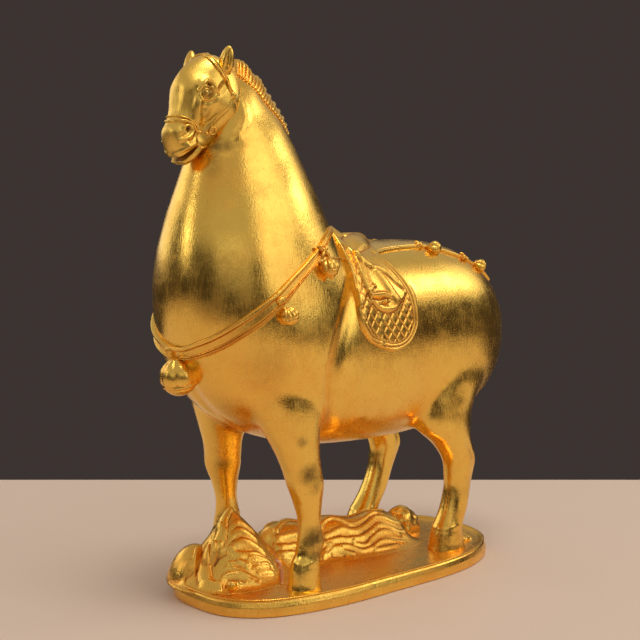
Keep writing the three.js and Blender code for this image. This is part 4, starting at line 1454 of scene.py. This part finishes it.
def saddleShape(tree):
    low, high, turn = saddleValues["from"], saddleValues["to"], saddleValues["halfTurn"]
    stepsX = int((high - low) / saddleValues["step"])
    stepsY = int(2 * turn * saddleValues["degree"] / saddleValues["step"])
    depth = {}

    def place(u, v):
        x = mix(low, high, u)
        degrees = mix(-turn, turn, v)
        far = saddleValues["castFrom"]
        ringY, ringZ = -far * np.sin(np.radians(degrees)), far * np.cos(np.radians(degrees))
        skin = onBarrel(tree, x, ringY, ringZ)
        out = unit(np.stack([np.zeros(len(x)), ringY, ringZ], 1))
        height, cloth = saddleHeight(x, degrees)
        height = np.where(cloth > 0, height, np.maximum(cloth * 2, -saddleValues["sink"]))
        depth["keep"] = cloth > saddleValues["keepTo"]
        return skin + out * height[:, None]

    shape = bmesh.new()
    bmesh.ops.create_grid(shape, x_segments=stepsX, y_segments=stepsY, size=1)
    corner = np.array([vert.co[:2] for vert in shape.verts])
    share = (corner - corner.min(0)) / np.ptp(corner, 0)
    for vert, point in zip(shape.verts, place(share[:, 0], share[:, 1]) * mm):
        vert.co = point
    allAxes = {"use_axis_x": True, "use_axis_y": True, "use_axis_z": True}
    for _ in range(saddleValues["softRounds"]):
        bmesh.ops.smooth_vert(shape, verts=shape.verts, factor=0.5, **allAxes)
    outside = [vert for vert, keep in zip(shape.verts, depth["keep"]) if not keep]
    bmesh.ops.delete(shape, geom=outside, context="VERTS")
    # the rim is carried inwards before it is closed, so that the closing face stays inside the body
    rim = [edge for edge in shape.edges if edge.is_boundary]
    inner = bmesh.ops.extrude_edge_only(shape, edges=rim)["geom"]
    middle = Vector((0, 0, saddleValues["axis"])) * mm
    for item in inner:
        if isinstance(item, bmesh.types.BMVert):
            item.co = middle.lerp(item.co, saddleValues["innerShare"])
    closeShape(shape)
    return shape


def makeSaddle():
    corners = [vert.co for vert in horseBody.data.vertices]
    tree = BVHTree.FromPolygons(corners, [face.vertices for face in horseBody.data.polygons])
    saddle = makePiece("saddle", [saddleShape(tree)], carvedGold)
    markHollows(saddle, *saddleValues["hollows"])
    reportPiece(saddle)


makeSaddle()


# The bridle

# each strap: places as (down, degrees), half widths along it
bridleValues = {
    "proud": 1.1,
    "straps": {
        "browband": (((2.8, 0), (3.0, 16), (7.2, 50), (10.2, 69), (13.2, 85), (15.8, 92), (20.2, 96),
                     (23.4, 104)), (2.3, 2.3, 2.2, 1.9, 1.4, 1.2)),
        "upperCheek": (((23.4, 104), (26.8, 102), (31.2, 101), (34.6, 99), (38.4, 97), (42.4, 95),
                       (46.4, 94), (51, 92), (55.4, 92), (58.6, 92), (63.4, 92), (66.8, 100)),
                       (1.0, 0.9, 0.9, 0.7)),
        "lowerCheek": (((23.4, 106), (26.6, 104.5), (29.8, 105.5), (33.6, 104.5), (37.2, 102), (41.8, 99.6),
                       (45.6, 99.4), (49.4, 99)), (0.7, 0.7)),
        "throat": (((23.8, 105), (27, 114), (30, 127), (31.6, 150), (35.4, 153), (38.6, 156), (42.2, 158)),
                   (1.0, 0.8)),
        "throatFold": (((24.6, 104), (28.4, 115), (31.6, 126)), (0.6, 0.5)),
        "noseband": (((57.6, 0), (57.2, 5), (56.6, 26), (55.4, 46), (54.6, 62), (54.8, 77), (57.6, 90),
                     (60.8, 92)), (1.2, 1.1, 1.0, 0.9)),
        "fineNoseband": (((53.6, 0), (53.4, 24), (53, 43), (52.8, 61), (53.6, 79), (54.8, 89)), (0.6, 0.6)),
        "jawStrap": (((67, 111), (60.8, 152), (55, 162), (50.8, 163), (46.6, 160), (44, 158)), (0.9, 0.8)),
    },
    "ring": {"place": (51.6, 104), "radius": 2.5, "thick": 0.75},
    "knobs": ((23.4, 104, 2.2), (57.6, 91, 1.6), (55.4, 100, 1.3)),
    "sink": 1.4,
    "mesh": (84, 30),
    "ringMesh": (48, 16),
    "knobMesh": (24, 16),
    "hollows": (5, 0.5),
}


def ringShape(centre, out, radius, thick):
    out = unit(np.array(out, float))
    first = unit(np.cross(out, (0, 0, 1)))
    second = np.cross(out, first)

    def place(u, v):
        turn, lap = 2 * np.pi * u, 2 * np.pi * v
        spoke = np.outer(np.cos(turn), first) + np.outer(np.sin(turn), second)
        return centre + spoke * (radius + thick * np.cos(lap))[:, None] + np.outer(thick * np.sin(lap), out)

    return gridShape(*bridleValues["ringMesh"], place)


def headLine(places, count):
    downs, degrees = smoothPath(places, count).T
    return headSkin(downs, np.radians(degrees)), headNormal(downs, np.radians(degrees))


def makeBridle():
    values = bridleValues
    proud = values["proud"]
    single = strapSection(0.2, values["sink"], ((0, 1.0, proud, 2),))
    double = strapSection(0.6, values["sink"], ((-0.66, 0.3, 1.3 * proud, 2), (0.6, 0.34, 1.3 * proud, 2)))
    ring = values["ring"]
    meridians, rows = values["knobMesh"]
    shapes = []
    for mirror in (1, -1):
        for name, (places, widths) in values["straps"].items():
            points, outs = headLine([(down, mirror * degrees) for down, degrees in places], 90)
            section = double if name == "browband" else single
            shapes.append(strapShape(points, outs, section, widths, *values["mesh"], ends=0.03))
        down, degrees = ring["place"]
        centre, out = headLine([(down, mirror * degrees)] * 2, 2)
        shapes.append(ringShape(centre[0] + out[0] * 0.5, out[0], ring["radius"], ring["thick"]))
        for down, degrees, radius in values["knobs"]:
            centre, out = headLine([(down, mirror * degrees)] * 2, 2)
            knob = bmesh.new()
            bmesh.ops.create_uvsphere(knob, u_segments=meridians, v_segments=rows, radius=radius * mm)
            bmesh.ops.translate(knob, vec=Vector((centre[0] + out[0] * 0.2) * mm), verts=knob.verts)
            shapes.append(knob)
    bridle = makePiece("bridle", shapes, carvedGold)
    markHollows(bridle, *values["hollows"])
    reportPiece(bridle)


makeBridle()


# The base: a low oval dish with a raised rim

baseValues = {
    "halfLength": 141,
    "halfWidth": 72,
    "centre": (0, -3),
    "squareness": 2.7,
    "floor": 11,
    "buried": 7,
    "profile": ((-1.6, 0.0), (-0.3, 0.5), (0.1, 3.0), (-0.2, 7.0), (-1.3, 10.2), (-2.2, 11.3), (-1.7, 11.9),
                (-1.2, 12.6), (-1.8, 13.0), (-3.2, 13.0), (-4.4, 12.4), (-5.6, 11.4), (-8.5, 10.9),
                (-20.0, 11.0)),
    "wobble": 0.5,
    "spread": {"reach": 7, "from": -30, "to": 110},
    "rimShare": 0.78,
    "mesh": (120, 340),
    "hollows": (12, 0.8),
}


def baseShape():
    values = baseValues
    profile = np.array(values["profile"])
    lap = np.linspace(0, 1, len(profile))
    spread = values["spread"]
    low = values["rimShare"]

    def place(u, v):
        turn = 2 * np.pi * v
        inset = np.where(u < low, np.interp(u / low, lap, profile[:, 0]), -20)
        height = np.where(u < low, np.interp(u / low, lap, profile[:, 1]), values["floor"])
        shrink = np.clip((1 - u) / (1 - low), 0, 1)
        wave = np.sin(3 * turn + 1) + 0.6 * np.sin(7 * turn) + 0.4 * np.sin(11 * turn + 2)
        wave *= values["wobble"] / 2
        inset = inset - values["wobble"] + wave * np.exp(-np.abs(inset) / 6)
        x = (values["halfLength"] + inset) * softPower(np.cos(turn), values["squareness"]) * shrink
        side = softPower(np.sin(turn), values["squareness"]) * shrink
        wider = spread["reach"] * smoothStep(x, spread["from"], spread["to"]) * np.minimum(0, side)
        y = (values["halfWidth"] + inset) * side + wider
        return np.stack([x + values["centre"][0], y + values["centre"][1], height], 1)

    return gridShape(*values["mesh"], place)


# the tall wave before the forelegs and the long swell behind it, as heights over the floor
waveValues = {
    "x": -91,
    "y": 14,
    "height": 49,
    "halfLength": 52,
    "halfWidth": 46,
    "skirt": 0.45,
    "steepness": 1.5,
    "step": 0.5,
    "hollows": (10, 0.45),
    "lobe": {"x": -117, "y": 27, "radius": 21, "height": 25, "fullness": 0.7},
    "ridges": (
        (((-94, 17), (-100, 15), (-104, 11), (-107, 8), (-111, 7), (-116, 7), (-120, 7)), 4.8, 4.6),
        (((-118, 7), (-122, 7), (-125, 5), (-128, 0), (-130, -6), (-128, -12)), 5.6, 4.0),
        (((-102, 5), (-99, 6), (-95, 6), (-91, 6), (-88, 5), (-80, 3)), 2.0, 1.5),
        (((-106, 2), (-102, 2), (-96, 2), (-91, 1), (-82, -3)), 2.0, 1.5),
        (((-104, -2), (-100, -3), (-94, -4), (-88, -6), (-80, -9)), 2.2, 1.7),
        (((-117, 5), (-113, 4), (-109, 1), (-106, -3), (-103, -7), (-96, -10), (-89, -11),
         (-79, -13)), 2.0, 1.2),
        (((-104, -10), (-100, -13), (-94, -13), (-88, -14), (-78, -16)), 2.0, 1.1),
        (((-100, -15), (-96, -17), (-88, -17), (-82, -17)), 1.8, 1.0),
        (((-94, -20), (-87, -20), (-81, -20)), 1.7, 1.1),
        (((-114, -7), (-111, -7), (-106, -10), (-102, -12), (-100, -15)), 1.4, 0.8),
        (((-110, -10), (-105, -13.5), (-100, -17), (-96, -20), (-93, -24)), 1.2, 0.6),
        (((-116, -7), (-113, -8.5), (-109, -11.5), (-105, -15.5), (-100, -20), (-96, -23.5)), 1.3, 0.7),
        (((-124, -13), (-122, -11), (-119, -10), (-116, -10.5), (-110, -14), (-105, -17.5),
         (-101, -21.5)), 1.8, 1.3),
        (((-110, -19), (-104, -22), (-98, -25)), 1.6, 1.0),
        (((-138, 14), (-135, 18), (-131, 18), (-126, 15), (-119, 20)), 2.4, 1.6),
        (((-108, 15), (-106, 15), (-105, 12)), 2.2, 1.4),
        (((-112, 42), (-100, 38), (-86, 34), (-70, 32)), 3.0, 2.0),
        (((-104, 52), (-92, 46), (-78, 42), (-62, 36)), 3.0, 1.8),
        (((-60, 24), (-58, 12), (-60, 0), (-66, -10)), 3.0, 1.6),
    ),
    "grooves": (
        (((-118, 1), (-114, 1), (-109, -1)), 1.6, 2.4),
        (((-121, 3), (-119, 6), (-113, 11), (-108, 13)), 1.4, 1.8),
        (((-128, 9), (-124, 14), (-119, 17), (-113, 18)), 2.0, 2.2),
        (((-120, -15), (-116, -13), (-111, -16), (-107, -20)), 1.5, 1.4),
    ),
}
swellValues = {
    "from": -74,
    "to": 84,
    "y": 12,
    "halfWidth": 36,
    "height": 30,
    "rearShare": 0.74,
    "sway": 7,
    "crests": 3.7,
    "firstCrest": 0.23,
    "crestSway": 0.05,
    "step": 0.6,
    "hollows": (10, 0.45),
    "ridges": (
        (((-9, 6), (-4, 8), (3, 8), (9, 5), (14, 1), (18, -2), (28, -1), (41, 1), (49, 1), (55, -4),
         (69, -5)), 2.0, 1.7),
        (((-10, -1), (-3, -2), (7, -3), (13, -6), (20, -7), (31, -6), (44, -4), (58, -8),
         (71, -8)), 2.0, 1.7),
        (((-16, -4), (-8, -5), (0, -7), (8, -10), (20, -12), (32, -11), (42, -10), (57, -15),
         (66, -15)), 1.8, 1.6),
        (((10, -13), (20, -17), (29, -15), (41, -14), (57, -18)), 1.6, 1.4),
        (((-20, -9), (-11, -7), (-3, -10), (5, -13), (14, -19), (24, -20), (36, -19), (50, -22),
         (58, -23)), 1.5, 1.4),
        (((-21, -11), (-15, -10), (-9, -9.5), (-3, -12), (1, -15), (5, -18)), 1.3, 1.3),
        (((-25, -14), (-16, -17), (-6, -20), (6, -21)), 1.7, 1.4),
        (((25, -22), (37, -24), (48, -25)), 1.6, 1.2),
        (((-51, 11), (-44, 15), (-34, 19), (-26, 20), (-14, 17)), 2.6, 2.0),
        (((-56, 6), (-49, 5), (-42, 5), (-34, 5), (-24, 3)), 2.2, 1.7),
        (((-58, 3), (-54, 0), (-47, -1), (-40, -1), (-30, -3)), 1.8, 1.4),
        (((-60, -1), (-54, -4), (-44, -5), (-34, -7)), 1.8, 1.4),
        (((-48, 26), (-30, 30), (-10, 28), (8, 20), (26, 14), (48, 14), (74, 12)), 2.6, 2.0),
        (((-52, 34), (-28, 38), (-4, 34), (16, 26), (40, 22), (70, 22)), 2.6, 2.0),
        (((-44, 42), (-18, 44), (8, 38), (34, 30), (62, 30)), 2.6, 1.8),
    ),
    "grooves": (
        (((-12, -12), (-8, -13), (-3, -15)), 1.8, 2.2),
    ),
}


# relief lines added to a height: raised ridges and sunk grooves
def withLines(height, values, foot, x, y):
    for path, width, rise in values["ridges"]:
        height = height + foot * rise * np.sqrt(np.clip(1 - (nearLine(path, x, y) / width) ** 2, 0, 1))
    for path, width, sink in values["grooves"]:
        height = height - foot * sink * hump(nearLine(path, x, y) / width)
    return height


def waveHeight(x, y):
    values = waveValues
    dx, dy = (x - values["x"]) / values["halfLength"], (y - values["y"]) / values["halfWidth"]
    distance = np.minimum(np.hypot(dx, dy), 1)
    body = mix((1 - distance) ** values["steepness"], hump(distance), values["skirt"])
    lobe = values["lobe"]
    bulge = np.clip(1 - np.hypot(x - lobe["x"], y - lobe["y"]) ** 2 / lobe["radius"] ** 2, 0, 1)
    height = np.maximum(values["height"] * body, lobe["height"] * bulge ** lobe["fullness"])
    height = withLines(height, values, smoothStep(height, 0.5, 4), x, y)
    return height, (distance < 1) | (bulge > 0)


def swellHeight(x, y):
    values = swellValues
    t = np.clip((x - values["from"]) / (values["to"] - values["from"]), 0, 1)
    middle = values["y"] + values["sway"] * np.sin(2 * np.pi * t)
    across = np.minimum(np.abs((y - middle) / values["halfWidth"]), 1)
    ends = smoothStep(t, 0, 0.15) * smoothStep(1 - t, 0, 0.12)
    crest = values["crestSway"] * np.cos(2 * np.pi * values["crests"] * (t - values["firstCrest"]))
    height = ends * values["height"] * (mix(1, values["rearShare"], t) + crest) * hump(across)
    height = withLines(height, values, smoothStep(height, 0.3, 3), x, y)
    return height, (across < 1) & (t > 0) & (t < 1)


# a closed relief on the base's floor, over the places where its height says so
def reliefShape(low, high, step, heightAt):
    shape = bmesh.new()
    stepsX, stepsY = int((high[0] - low[0]) / step), int((high[1] - low[1]) / step)
    bmesh.ops.create_grid(shape, x_segments=stepsX, y_segments=stepsY, size=1)
    corner = np.array([vert.co[:2] for vert in shape.verts])
    share = (corner - corner.min(0)) / np.ptp(corner, 0)
    x, y = mix(low[0], high[0], share[:, 0]), mix(low[1], high[1], share[:, 1])
    height, inside = heightAt(x, y)
    z = baseValues["floor"] + np.where(height > 0.05, height, -1.5)
    for vert, point in zip(shape.verts, np.stack([x, y, z], 1) * mm):
        vert.co = point
    outside = [vert for vert, keep in zip(shape.verts, inside) if not keep]
    bmesh.ops.delete(shape, geom=outside, context="VERTS")
    closeShape(shape)
    return shape


# rocks at the swell's far end: centre, size, place in the noise; and a pearl before the tall wave
stoneValues = {
    "rocks": (((89, 13, 11), (20, 16, 20), 3), ((108, -34, 8), (13, 15, 9), 7)),
    "rockMesh": (72, 48),
    "pearl": {"place": (-117.5, -18.5, 15.5), "radius": 3.9, "mesh": (32, 20)},
    "hollows": (8, 0.6),
}


def boulderShape(centre, size, seed):
    rock = bmesh.new()
    meridians, rows = stoneValues["rockMesh"]
    bmesh.ops.create_uvsphere(rock, u_segments=meridians, v_segments=rows, radius=1)
    for vert in rock.verts:
        lump = noise.noise(vert.co * 1.6 + Vector((seed, 0, 0))) * 0.12
        lump += noise.noise(vert.co * 4 + Vector((0, seed, 0))) * 0.05
        place = [centre[i] + size[i] * vert.co[i] * (1 + lump) for i in range(3)]
        vert.co = Vector((place[0], place[1], max(place[2], baseValues["buried"]))) * mm
    bmesh.ops.recalc_face_normals(rock, faces=rock.faces)
    return rock


# a run of copper left on the base behind the tall wave when it was cast
flawValues = {
    "path": ((-69, -9, 23), (-69.5, -11.5, 21.9), (-68.5, -13.5, 20), (-70, -15.8, 18), (-71, -19, 16),
             (-74.5, -23, 14.2), (-77, -26, 13), (-81.5, -31, 11.4)),
    "out": (0.2, -0.6, 0.75),
    "widths": (1.0, 1.9, 1.4, 2.0, 1.5, 1.8, 1.3, 1.0),
    "height": 1.9,
    "color": (0.98, 0.60, 0.42),
    "roughness": 0.35,
    "mesh": (60, 40),
}


def makeFlaw():
    points = smoothPath(flawValues["path"], 60)
    section = strapSection(0.2, 1.6, ((0, 1.0, flawValues["height"], 2),))
    outs = [flawValues["out"]] * len(points)
    shape = strapShape(points, outs, section, flawValues["widths"], *flawValues["mesh"], ends=0.1)
    copper = plainMaterial("bareCopper", flawValues["color"], flawValues["roughness"])
    copper.node_tree.nodes["Principled BSDF"].inputs["Metallic"].default_value = 1.0
    reportPiece(makePiece("castingFlaw", [shape], copper))


def makeBase():
    base = makePiece("base", [baseShape()], baseGold)
    markHollows(base, *baseValues["hollows"])
    reportPiece(base)


def makeWaves():
    reach = waveValues["halfLength"], waveValues["halfWidth"]
    low = (waveValues["x"] - reach[0], waveValues["y"] - reach[1])
    high = (waveValues["x"] + reach[0], waveValues["y"] + reach[1])
    wave = makePiece("frontWave", [reliefShape(low, high, waveValues["step"], waveHeight)], baseGold)
    markHollows(wave, *waveValues["hollows"])
    reportPiece(wave)
    low = (swellValues["from"], swellValues["y"] - swellValues["halfWidth"] - swellValues["sway"])
    high = (swellValues["to"], swellValues["y"] + swellValues["halfWidth"] + swellValues["sway"])
    swell = makePiece("swell", [reliefShape(low, high, swellValues["step"], swellHeight)], baseGold)
    markHollows(swell, *swellValues["hollows"])
    reportPiece(swell)


def makeStones():
    pearlValues = stoneValues["pearl"]
    meridians, rows = pearlValues["mesh"]
    pearl = bmesh.new()
    bmesh.ops.create_uvsphere(pearl, u_segments=meridians, v_segments=rows, radius=pearlValues["radius"] * mm)
    bmesh.ops.translate(pearl, vec=Vector(pearlValues["place"]) * mm, verts=pearl.verts)
    stones = makePiece("rocks", [boulderShape(*rock) for rock in stoneValues["rocks"]] + [pearl], baseGold)
    markHollows(stones, *stoneValues["hollows"])
    reportPiece(stones)


makeBase()
makeWaves()
makeStones()
makeFlaw()

print("made", len(triangleCounts), "pieces with", sum(triangleCounts.values()), "triangles in all")
